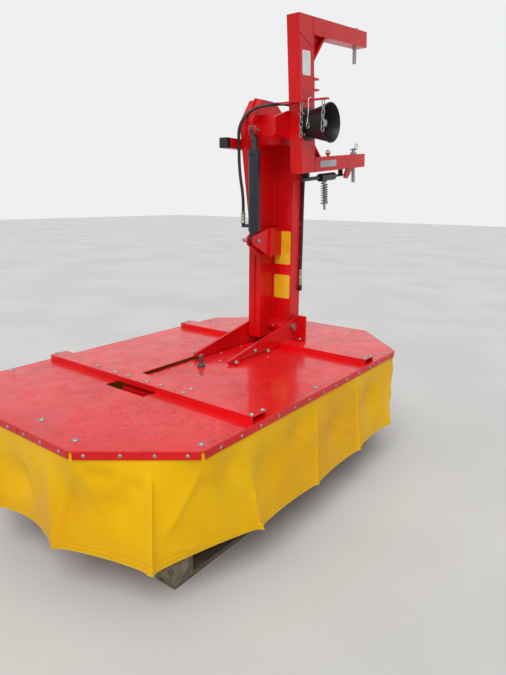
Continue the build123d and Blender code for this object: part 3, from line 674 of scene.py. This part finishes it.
HOLLOWS = (
    # run along the edge, drop, half width, half height, depth
    (0.600, 0.215, 0.055, 0.11, 0.010),
    (0.770, 0.200, 0.060, 0.08, 0.006),
    (1.180, 0.120, 0.060, 0.07, 0.006),
    (1.430, 0.200, 0.090, 0.09, 0.010),
    (1.640, 0.130, 0.080, 0.06, 0.006),
    (1.960, 0.230, 0.100, 0.08, 0.008),
    (2.340, 0.200, 0.090, 0.10, 0.008),
    (0.240, 0.240, 0.090, 0.09, 0.010),
    (2.760, 0.200, 0.070, 0.09, 0.008),
    (3.500, 0.220, 0.110, 0.10, 0.010),
    (4.630, 0.210, 0.100, 0.08, 0.008),
    (5.060, 0.230, 0.100, 0.09, 0.009),
    (5.460, 0.200, 0.100, 0.09, 0.008),
)

# FOLD_RELIEF multiplies what FOLD_LINES and HOLLOWS give, and HOLLOW_RELIEF the depth of the hollows as well
FOLD_RELIEF = 1.55
HOLLOW_RELIEF = 1.9

# The cloth and its mesh
CLOTH_THICK = 0.0022
HEM_LAYER = 0.0016
BEHIND_RAIL = 0.0058
CLOTH_COLUMN = 0.009
CLOTH_ROWS = 34


def deck_side(i):
    # The two corners of one side of the deck, which run round it anticlockwise
    return Vector(DECK_CORNERS[i % 8]), Vector(DECK_CORNERS[(i + 1) % 8])


def outward(run):
    return Vector((run.y, -run.x))


def deck_ring(grow):
    # The deck's corners, with each side moved out by the same amount
    moved = []
    for i in range(8):
        before, corner = deck_side(i - 1)
        after = deck_side(i)[1]
        n = outward((corner - before).normalized())
        m = outward((after - corner).normalized())
        moved.append(corner + (n + m) * (grow / (1 + n.dot(m))))
    return moved


EDGE_STARTS = [0.0]
for i in range(8):
    a, b = deck_side(i)
    EDGE_STARTS.append(EDGE_STARTS[-1] + (b - a).length)
ALL_ROUND = EDGE_STARTS[-1]


def on_ring(corners, turn):
    # A turn is the number of a side plus the share along it
    edge = int(turn) % 8
    return corners[edge].lerp(corners[(edge + 1) % 8], turn % 1)


def along_edge(turn):
    edge = int(turn) % 8
    return EDGE_STARTS[edge] + (EDGE_STARTS[edge + 1] - EDGE_STARTS[edge]) * (turn % 1)


def from_point(u, start):
    # How far u is past start, the short way round
    return (u - start + ALL_ROUND / 2) % ALL_ROUND - ALL_ROUND / 2


def ease(value, low, high):
    # 0 at low and 1 at high, level at both
    share = max(0.0, min(1.0, (value - low) / (high - low)))
    return share * share * (3 - 2 * share)


def relief_at(u, drop):
    # How far the cloth stands out from its plain shape, from the tables of folds and hollows
    out = 0.0
    for u0, d0, u1, d1, width, height in FOLD_LINES:
        across = from_point(u, u0)
        if abs(across) > abs(u1 - u0) + 6 * width + 0.02:
            continue
        run_u, run_d = u1 - u0, d1 - d0
        size = run_u * run_u + run_d * run_d
        share = max(0.0, min(1.0, (across * run_u + (drop - d0) * run_d) / size))
        gap = math.hypot(across - share * run_u, drop - d0 - share * run_d)
        at_hem = d1 > 0.38
        fade = ease(share, 0.0, 0.25) if at_hem else ease(share, 0.0, 0.3) * ease(share, 1.0, 0.7)
        # A fold that stands out has a sharp ridge, and one that sinks in is round
        out += height * fade * math.exp(-gap / width if height > 0 else -(gap / width) ** 2)
    for centre, depth, wide, high, sink in HOLLOWS:
        across = from_point(u, centre)
        if abs(across) < 3 * wide:
            out -= HOLLOW_RELIEF * sink * math.exp(-(across / wide) ** 2 - ((drop - depth) / high) ** 2)
    return FOLD_RELIEF * out


def make_skirt():
    top = deck_ring(-BEHIND_RAIL)
    hem = []
    for edge, share, out, sag in HEM_FOLDS:
        a, b = deck_side(edge)
        hem.append((edge + share, a.lerp(b, share) + outward((b - a).normalized()) * out, sag))

    # Levels from the top down, each with how much of the hem's extra layer it has
    hang = RAIL_LOW - HEM_Z
    levels = [(SKIRT_TOP, 0.0), (RAIL_LOW + 0.004, 0.0), (RAIL_LOW, 0.0)]
    for k in range(1, CLOTH_ROWS + 1):
        levels.append((RAIL_LOW - (hang - HEM_BAND) * k / CLOTH_ROWS, 0.0))
    band = HEM_Z + HEM_BAND
    levels += [
        (band - 0.0015, 1.0), (band - 0.012, 1.0), (HEM_Z + 0.006, 1.0), (HEM_Z + 0.001, 1.0), (HEM_Z, 0.6),
    ]

    bm = bmesh.new()
    columns = []
    for i, (turn0, start, sag) in enumerate(hem):
        turn1, end, _ = hem[(i + 1) % len(hem)]
        if turn1 < turn0:
            turn1 += 8
        chord = end - start
        inward = -outward(chord).normalized()
        count = max(8, round(chord.length / CLOTH_COLUMN))
        for j in range(count):
            share = j / count
            turn = turn0 + (turn1 - turn0) * share
            upper = on_ring(top, turn)
            lower = start.lerp(end, share) + inward * sag * math.sin(math.pi * share) ** 0.8
            u = along_edge(turn)
            column = []
            for z, raised in levels:
                t = max(0.0, (RAIL_LOW - z) / hang)
                swell = relief_at(u, DECK - z) * ease(t, 0.0, 0.16)
                point = upper.lerp(lower, t ** 0.92) - inward * (swell + HEM_LAYER * raised)
                column.append(bm.verts.new((point.x, point.y, z)))
            columns.append(column)
    for a, b in zip(columns, columns[1:] + columns[:1]):
        for k in range(len(levels) - 1):
            bm.faces.new((a[k], a[k + 1], b[k + 1], b[k]))
    obj = piece("skirt_cloth_sheet", bm, CLOTH, "cutting_unit", smooth=60)
    thick = obj.modifiers.new("thickness", "SOLIDIFY")
    thick.thickness = CLOTH_THICK
    thick.offset = -1
    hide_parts("skirt")


make_skirt()

# Bolts round the rails, at the places the photograph shows and at the same pitch elsewhere
RAIL_BOLT_Z = 0.603
CORNER_BOLTS = (0.048, 0.168, 0.282, 0.391)
LONG_SIDE_BOLTS = (
    0.086, 0.201, 0.316, 0.434, 0.548, 0.661, 0.778, 0.891, 0.997, 1.121, 1.244, 1.351, 1.464,
)
REAR_CORNER_BOLTS = (0.060, 0.175, 0.290, 0.405)
RAIL_BOLTS = (
    # places along each side of the deck
    (0.025, 0.136, 0.246, 0.355, 0.457, 0.568), CORNER_BOLTS, LONG_SIDE_BOLTS, REAR_CORNER_BOLTS,
    (0.060, 0.186, 0.312, 0.438, 0.590), REAR_CORNER_BOLTS, LONG_SIDE_BOLTS, CORNER_BOLTS,
)
rail_table = []
for edge, places in enumerate(RAIL_BOLTS):
    a, b = deck_side(edge)
    run = (b - a).normalized()
    out = outward(run)
    for s in places:
        spot = a + run * s
        rail_table.append(((spot.x, spot.y, RAIL_BOLT_Z), (out.x, out.y, 0), RAIL_HEAD))
fasteners("rail_bolts", rail_table, dome_bolt, ZINC, "cutting_unit")

fasteners("deck_bolts", [((x, y, DECK), UP, DECK_HEAD) for x, y in (
    (1.014, 0.261), (0.769, 0.620), (0.745, -0.628), (-0.669, 0.628), (1.014, -0.261), (-0.669, -0.628),
    (-1.014, 0.261), (-1.014, -0.261), (0.985, 0.012), (0.04, 0.625), (0.04, -0.625),
)], dome_bolt, ZINC, "cutting_unit")

# Cross bars: channels with their open side down, as low as the photograph shows them
BAR_TOP = 0.6465
BAR_HALF = 0.046
BAR_WALL = 0.005
BAR_END = 0.646
SLOT_SIDE = 0.121
OUTER_BAR = 0.479
INNER_BAR = -0.455
bm = bmesh.new()
for x, y0, y1 in (
    (OUTER_BAR, -BAR_END, BAR_END), (INNER_BAR, SLOT_SIDE, BAR_END), (INNER_BAR, -BAR_END, -SLOT_SIDE),
):
    block(bm, x - BAR_HALF, x + BAR_HALF, y0, y1, BAR_TOP - BAR_WALL, BAR_TOP)
    block(bm, x - BAR_HALF, x - BAR_HALF + BAR_WALL, y0, y1, DECK, BAR_TOP - BAR_WALL)
    block(bm, x + BAR_HALF - BAR_WALL, x + BAR_HALF, y0, y1, DECK, BAR_TOP - BAR_WALL)
bars = piece("low_bars", bm, WET_RED, "cutting_unit")
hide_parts("cross_bars")

# Cover in the slot, the sheet at the slot's inner end, and the end of the gear beam in its opening
COVER_TOP = 0.606
bm = bmesh.new()
block(bm, 0.033, 0.445, -0.118, 0.118, 0.600, COVER_TOP)
block(bm, -0.440, 0.033, -0.100, 0.100, 0.600, COVER_TOP)
cover = piece("slot_cover", bm, WET_RED, "cutting_unit")
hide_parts("gear_cover")
bm = bmesh.new()
block(bm, -1.074, -0.650, -0.125, 0.125, 0.616, DECK)
piece("inner_end_sheet", bm, WET_RED, "cutting_unit")
bm = bmesh.new()
block(bm, 0.519, 0.589, -0.118, 0.118, 0.470, 0.550)
piece("beam_nose", bm, RED, "cutting_unit")

# Bolts of the bars, the cover and the hinge brackets
bar_table = [((OUTER_BAR + dx, y, BAR_TOP), UP, BAR_HEAD) for dx, y in (
    (0.013, -0.640), (0.010, -0.305), (0.018, -0.165), (0.014, -0.080), (0.016, 0.046), (0.015, 0.128),
    (0.018, 0.268), (-0.032, 0.266), (0.028, 0.632), (-0.034, 0.637),
)]
bar_table += [((INNER_BAR + dx, y, BAR_TOP), UP, BAR_HEAD) for dx, y in (
    (0.028, -0.267), (0.026, 0.281), (0.022, 0.630), (0.022, -0.630), (-0.024, 0.640), (-0.024, -0.640),
)]
fasteners("bar_bolts", bar_table, dome_bolt, ZINC, "cutting_unit")
cover_places = [(x, y) for y in (-0.088, 0.088) for x in (0.408, 0.324, 0.208, 0.090, -0.155, -0.330)]
cover_places += [(x, 0.004) for x in (0.324, 0.204, -0.039)]
cover_table = [((x, y, COVER_TOP), UP, COVER_HEAD) for x, y in cover_places]
fasteners("cover_bolts", cover_table, dome_bolt, ZINC, "cutting_unit")
bracket_table = []
for side in (-1, 1):
    for x in (-0.585, -0.270, 0.000):
        bracket_table.append(((x, side * 0.146, 0.632), UP, BAR_HEAD))
    bracket_table.append(((-0.189, side * 0.120, 0.648), (0, side, 0), HINGE_HEAD))
fasteners("bracket_bolts", bracket_table, hex_bolt, ZINC, "cutting_unit")

# Welds of the arm, the hitch and the brackets
TUBE_FRONT = -0.540
TUBE_SIDE = 0.100
HOUSING_SIDE = -0.0195
POST_SIDES = (0.2200, 0.1500)
BRACKET_SIDE = 0.1212
ARM_WELD = 0.0032
FRAME_WELD = 0.0030
welds("arm_welds", (
    ((TUBE_FRONT, -0.018, 0.745), (TUBE_FRONT, TUBE_SIDE, 0.745), (-0.610, TUBE_SIDE, 0.745)),
    ((TUBE_FRONT, -0.016, 1.695), (TUBE_FRONT, 0.098, 1.695)),
    ((TUBE_FRONT + 0.001, HOUSING_SIDE, 1.275), (TUBE_FRONT + 0.001, HOUSING_SIDE, 1.690)),
    ((TUBE_FRONT + 0.001, HOUSING_SIDE, 0.750), (TUBE_FRONT + 0.001, HOUSING_SIDE, 1.115)),
), ARM_WELD, "arm")
hitch_welds = []
for z0, z1 in ((0.412, 0.488), (-0.233, -0.162)):
    for y in POST_SIDES:
        hitch_welds.append([leaned(-0.065, y, z0), leaned(-0.065, y, z1)])
hitch_welds.append([leaned(0.062, POST_SIDES[0], 0.408), leaned(-0.062, POST_SIDES[0], 0.350)])
hitch_welds.append([leaned(-0.064, 0.2190, 0.155), leaned(-0.064, 0.2190, 0.225)])
hitch_welds.append([
    leaned(across, 0.1495, along) for across, along in (round_point(0.058, i, 36) for i in range(37))
])
welds("hitch_welds", hitch_welds, FRAME_WELD, "hitch")
bracket_welds = [[(x, side * BRACKET_SIDE, 0.634) for x in (0.020, -0.425)] for side in (-1, 1)]
welds("bracket_welds", bracket_welds, FRAME_WELD, "cutting_unit")

# Blank stickers and plates
STICKER_GAP = 0.0002
PLATE_THICK = 0.0012


def hitch_face(x0, x1, z0, z1):
    # Corners of an upright sheet on the hitch frame's front
    y = POST_SIDES[0] + STICKER_GAP
    return [leaned(x, y, z) for x, z in ((x0, z0), (x1, z0), (x1, z1), (x0, z1))]


plates("tube_stickers", (
    (upright(TUBE_FRONT + STICKER_GAP, -0.010, 0.094, 1.066, 1.250), OUT),
    (upright(TUBE_FRONT + STICKER_GAP, -0.012, 0.094, 0.872, 1.006), OUT),
), YELLOW_LABEL, "arm")
post_corners = hitch_face(0.044, -0.030, 0.225, 0.335)
arm_corners = hitch_face(-0.115, -0.290, -0.214, -0.180)
plates("post_sticker", ((post_corners, FRONT),), WHITE_LABEL, "hitch")
plates("arm_plate", ((arm_corners, FRONT),), GREY_PLATE, "hitch", PLATE_THICK)

# Hose ends: a crimped sleeve at each, a nut at the port, and a capped coupling at the free end
HOSE_PORT = Vector((-0.2993, -0.052, 1.3125))
HOSE_END = Vector((-0.627, 0.108, 0.985))
bm = bmesh.new()
lathe(bm, (
    (0.0088, 0.002), (0.0112, 0.004), (0.0112, 0.012), (0.0105, 0.013), (0.0105, 0.016), (0.0112, 0.017),
    (0.0112, 0.026), (0.0105, 0.027), (0.0105, 0.030), (0.0112, 0.031), (0.0112, 0.040), (0.0088, 0.042),
), 20, HOSE_PORT, UP)
hex_bolt(bm, HOSE_PORT + Vector((0, 0, -0.012)), UP, 0.0128)
piece("hose_port_fitting", bm, ZINC, "lift_barrel", smooth=40)
bm = bmesh.new()
lathe(bm, (
    (0.0084, -0.046), (0.0098, -0.044), (0.0098, -0.034), (0.0092, -0.033), (0.0092, -0.030), (0.0098, -0.029),
    (0.0098, -0.016), (0.0092, -0.015), (0.0092, -0.012), (0.0098, -0.011), (0.0098, 0.000), (0.0112, 0.001),
    (0.0112, 0.013), (0.0098, 0.014), (0.0098, 0.020), (0.0116, 0.021), (0.0116, 0.038), (0.0094, 0.040),
    (0.0094, 0.046), (0, 0.046),
), 20, HOSE_END, DOWN)
piece("hose_coupling", bm, ZINC, "arm", smooth=40)
bm = bmesh.new()
lathe(bm, (
    (0.0100, 0.043), (0.0118, 0.043), (0.0120, 0.045), (0.0120, 0.070), (0.0100, 0.074), (0, 0.075),
), 20, HOSE_END, DOWN)
piece("coupling_cap", bm, PLASTIC, "arm", smooth=40)

# Clips that the hose lies in, each a band half round it on the arm's side
CLIP_INSIDE = 0.0086
CLIP_OUTSIDE = 0.0100
CLIP_HALF = 0.008
bm = bmesh.new()
for x, z in ((-0.632, 1.590), (-0.6293, 1.288), (-0.6288, 1.105)):
    inner_low, outer_low, inner_high, outer_high = [
        [
            bm.verts.new((x + radius * math.sin(angle), HOSE_END.y - radius * math.cos(angle), level))
            for angle in (math.radians(-90 + 15 * i) for i in range(13))
        ]
        for level in (z - CLIP_HALF, z + CLIP_HALF) for radius in (CLIP_INSIDE, CLIP_OUTSIDE)
    ]
    edges = (inner_low, outer_low, outer_high, inner_high)
    for a, b in zip(edges, edges[1:] + edges[:1]):
        for k in range(12):
            bm.faces.new((a[k], a[k + 1], b[k + 1], b[k]))
piece("hose_clips", bm, ZINC, "arm", smooth=40)

# Gland and wiper at the barrel's open end
BARREL_FOOT = Vector((-0.300, 0.020, 1.210))
BARREL_UP = Vector((0.00859, 0, 0.999963))
bm = bmesh.new()
lathe(bm, (
    (0.0302, 0.424), (0.0322, 0.425), (0.0322, 0.433), (0.0308, 0.434), (0.0308, 0.437), (0.0322, 0.438),
    (0.0322, 0.446), (0.0302, 0.447),
), 36, BARREL_FOOT, BARREL_UP)
piece("cylinder_gland", bm, BLACK_STEEL, "lift_barrel", smooth=40)
bm = bmesh.new()
lathe(bm, (
    (0.0182, 0.4495), (0.0208, 0.450), (0.0208, 0.4535), (0.0182, 0.4545),
), 28, BARREL_FOOT, BARREL_UP)
piece("rod_wiper", bm, PLASTIC, "lift_barrel", smooth=40)


def nipple(bm, place, axis):
    # A grease nipple
    lathe(bm, (
        (0.0042, -0.001), (0.0042, 0.004), (0.0026, 0.005), (0.0026, 0.008), (0.0034, 0.009), (0.0034, 0.011),
        (0.0014, 0.014), (0, 0.014),
    ), 10, place, axis)


bm = bmesh.new()
nipple(bm, Vector((-0.300, -0.054, 1.210)), REAR)
nipple(bm, Vector((-0.505, 0.012, 0.712)), OUT)
piece("arm_nipples", bm, ZINC, "arm", smooth=40)
bm = bmesh.new()
nipple(bm, leaned(0.0, 0.185, 0.490), UP)
nipple(bm, leaned(0.055, 0.132, 0.010), OUT)
piece("hitch_nipples", bm, ZINC, "hitch", smooth=40)

# Bolts of the bearing in the belt housing's head, the lift pin's nut, and a black strip as painted shade in
# the housing's slot
HOUSING_REAR = -0.100
BEARING_CIRCLE = 0.060
head_bolts = []
for i in range(6):
    x, z = round_point(BEARING_CIRCLE, i + 0.5, 6)
    head_bolts.append(((DRIVE.x + x, HOUSING_REAR, DRIVE.z + z), REAR, BEARING_HEAD))
fasteners("head_bolts", head_bolts, hex_bolt, ZINC, "arm")
fasteners("lift_pin_nut", [((-0.295, 0.0108, 1.757), FRONT, PIN_NUT)], hex_bolt, ZINC, "hitch")
# Painted shade: a black strip where the housing's slot lies in shade
bm = bmesh.new()
plate(bm, upright(-0.4148, -0.046, -0.031, 1.378, 1.460), OUT, PLATE_THICK, 0.004)
piece("housing_slot_shade", bm, PLASTIC, "arm")

# Guard cone, the strip over it, and the chains that hang from the strip
bm = bmesh.new()
lathe(bm, (
    (0.0440, 0.0), (0.0800, 0.0), (0.0800, 0.006), (0.0610, 0.006), (0.0630, 0.016), (0.0900, 0.122),
    (0.0940, 0.128), (0.0940, 0.132), (0.0900, 0.132), (0.0865, 0.124), (0.0580, 0.016), (0.0560, 0.004),
    (0.0440, 0.0),
), 56, leaned(0, POST_SIDES[0], 0), FRONT)
cone = piece("guard_cone", bm, PLASTIC, "hitch", smooth=40)
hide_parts("drive_guard")
CONE_FLANGE = 0.2262
SCREW_CIRCLE = 0.068
cone_screws = []
for i in range(4):
    x, z = round_point(SCREW_CIRCLE, i + 0.5, 4)
    cone_screws.append((leaned(x, CONE_FLANGE, z), FRONT, SCREW_HEAD))
fasteners("cone_screws", cone_screws, hex_bolt, ZINC, "hitch")
hitch_place = Matrix.Translation(DRIVE) @ Matrix.Rotation(LEAN, 4, "Y")
bm = bmesh.new()
block(bm, 0.064, 0.100, 0.114, 0.380, 0.100, 0.108, hitch_place)
strip = piece("shelf_strip", bm, RED, "hitch")
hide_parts("shaft_shelf")

LINK_WIRE = 0.0026
LINK_LENGTH = 0.032
LINK_WIDTH = 0.020
LINK_PITCH = LINK_LENGTH - 4 * LINK_WIRE + 0.0016
FIRST_LINK = 0.011
RING_RADIUS = 0.0125
RING_DROP = 0.0265


def chain_link(bm, middle, turned):
    # A link with round ends, in the frame's XZ plane, or its YZ plane when turned
    straight = (LINK_LENGTH - LINK_WIDTH) / 2
    points = []
    for k in range(14):
        across, along = round_point(LINK_WIDTH / 2 - LINK_WIRE, k + 0.5, 14)
        along += math.copysign(straight, along)
        points.append(middle + Vector((0, across, along) if turned else (across, 0, along)))
    rod(bm, points, LINK_WIRE, 6, closed=True)


def chain(bm, hook, count):
    # Links that hang from a hook, every other one turned, and the place of the last one
    for i in range(count):
        spot = hook - Vector((0, 0, FIRST_LINK + LINK_PITCH * i))
        chain_link(bm, spot, i % 2 == 0)
    return spot


bm = bmesh.new()
last = chain(bm, leaned(0.088, 0.362, 0.100), 5)
rod(bm, [
    last + Vector((across, 0, along - RING_DROP))
    for across, along in (round_point(RING_RADIUS, k, 18) for k in range(18))
], LINK_WIRE, 6, closed=True)
chain(bm, leaned(0.096, 0.246, 0.100), 7)
chains = piece("hanging_chains", bm, ZINC, "hitch", smooth=60)
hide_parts("guard_chains")

# Bolts of the blades, under the discs
DRUM_X = 0.465
BLADE_CIRCLE = 0.372
DISC_UNDER = 0.204
blade_places = [round_point(BLADE_CIRCLE, i, 3) for i in range(3)]
for name, middle, body in (
    ("blade_bolts_outer", DRUM_X, "drum_unit_outer"), ("blade_bolts_inner", -DRUM_X, "drum_unit_inner"),
):
    blade_table = [((middle + x, y, DISC_UNDER), DOWN, BLADE_HEAD) for x, y in blade_places]
    fasteners(name, blade_table, hex_bolt, ZINC, body)

# Nails of the pallet's top boards
BOARD_TOP = 0.1440
FIRST_BOARD = -0.4275
BOARD_PITCH = 0.21375
nails = []
for i in range(5):
    for x in (-0.770, -0.745, -0.262, -0.238, 0.238, 0.262, 0.745, 0.770):
        for dy in (-0.040, 0.040):
            nails.append(((x, FIRST_BOARD + BOARD_PITCH * i + dy, BOARD_TOP), UP, NAIL_HEAD))
fasteners("pallet_nails", nails, dome_bolt, DARK_ZINC, "cutting_unit")

# Snap hook that hangs from the shelf's corner on a short cable
HOOK_X, HOOK_Y = -0.350, 0.300
bm = bmesh.new()
rod(bm, [(HOOK_X + x, HOOK_Y, z) for x, z in (
    (-0.030, 1.893), (-0.012, 1.894), (0.000, 1.886), (0.002, 1.872), (0.000, 1.850), (-0.001, 1.822),
)], 0.0022, 8)
piece("hook_cable", bm, WHITE_LABEL, "hitch", smooth=50)
snap = [(0.000, 1.826)]
for a in range(150, -200, -20):
    snap.append((0.012 * math.sin(math.radians(a)), 1.768 - 0.014 * math.cos(math.radians(a))))
snap.append((0.004, 1.812))
bm = bmesh.new()
rod(bm, [(HOOK_X + x, HOOK_Y, z) for x, z in snap], 0.0026, 8)
piece("snap_hook", bm, ZINC, "hitch", smooth=50)

# Floor
bm = bmesh.new()
bmesh.ops.create_grid(bm, x_segments=8, y_segments=8, size=30)
mesh = bpy.data.meshes.new("floor")
bm.to_mesh(mesh)
bm.free()
floor = bpy.data.objects.new("floor", mesh)
scene.collection.objects.link(floor)
t = Tree("floor")
shade = t.tones(0.8, 4.0, 0.35, 0.65, rgb(214, 213, 210), rgb(206, 205, 202))
shade = t.mix(t.patches(0.15, 160.0, 3.0, 0.5, 0.5, 0.8), shade, rgb(180, 179, 176))
t.set(
    Base_Color=shade, Roughness=0.85, Specular_IOR_Level=0.25,
    Normal=t.bump(t.noise(140.0, 3.0), 0.15, 0.002),
)
mesh.materials.append(t.mat)

# A wide soft sun from the camera's side
sun_data = bpy.data.lights.new("sky_light", "SUN")
sun_data.energy = 1.85
sun_data.angle = math.radians(42)
sun = bpy.data.objects.new("sky_light", sun_data)
sun.rotation_euler = Vector((0.75, 0.40, 1.05)).to_track_quat("Z", "Y").to_euler()
scene.collection.objects.link(sun)

# A dim sky that lights the object, and a pale one that the camera and reflections see
world = bpy.data.worlds.new("world")
scene.world = world
world.use_nodes = True
nt = world.node_tree
nt.nodes.clear()


def sky(colour, strength):
    node = nt.nodes.new("ShaderNodeBackground")
    node.inputs["Color"].default_value = colour
    node.inputs["Strength"].default_value = strength
    return node.outputs[0]


def larger(a, b):
    node = nt.nodes.new("ShaderNodeMath")
    node.operation = "MAXIMUM"
    nt.links.new(a, node.inputs[0])
    nt.links.new(b, node.inputs[1])
    return node.outputs[0]


rays = nt.nodes.new("ShaderNodeLightPath").outputs
seen = larger(larger(rays["Is Camera Ray"], rays["Is Glossy Ray"]), rays["Is Transmission Ray"])
mixer = nt.nodes.new("ShaderNodeMixShader")
nt.links.new(seen, mixer.inputs[0])
nt.links.new(sky((0.93, 0.97, 1.0, 1), 0.56), mixer.inputs[1])
nt.links.new(sky((0.86, 0.87, 0.88, 1), 1.0), mixer.inputs[2])
nt.links.new(mixer.outputs[0], nt.nodes.new("ShaderNodeOutputWorld").inputs["Surface"])
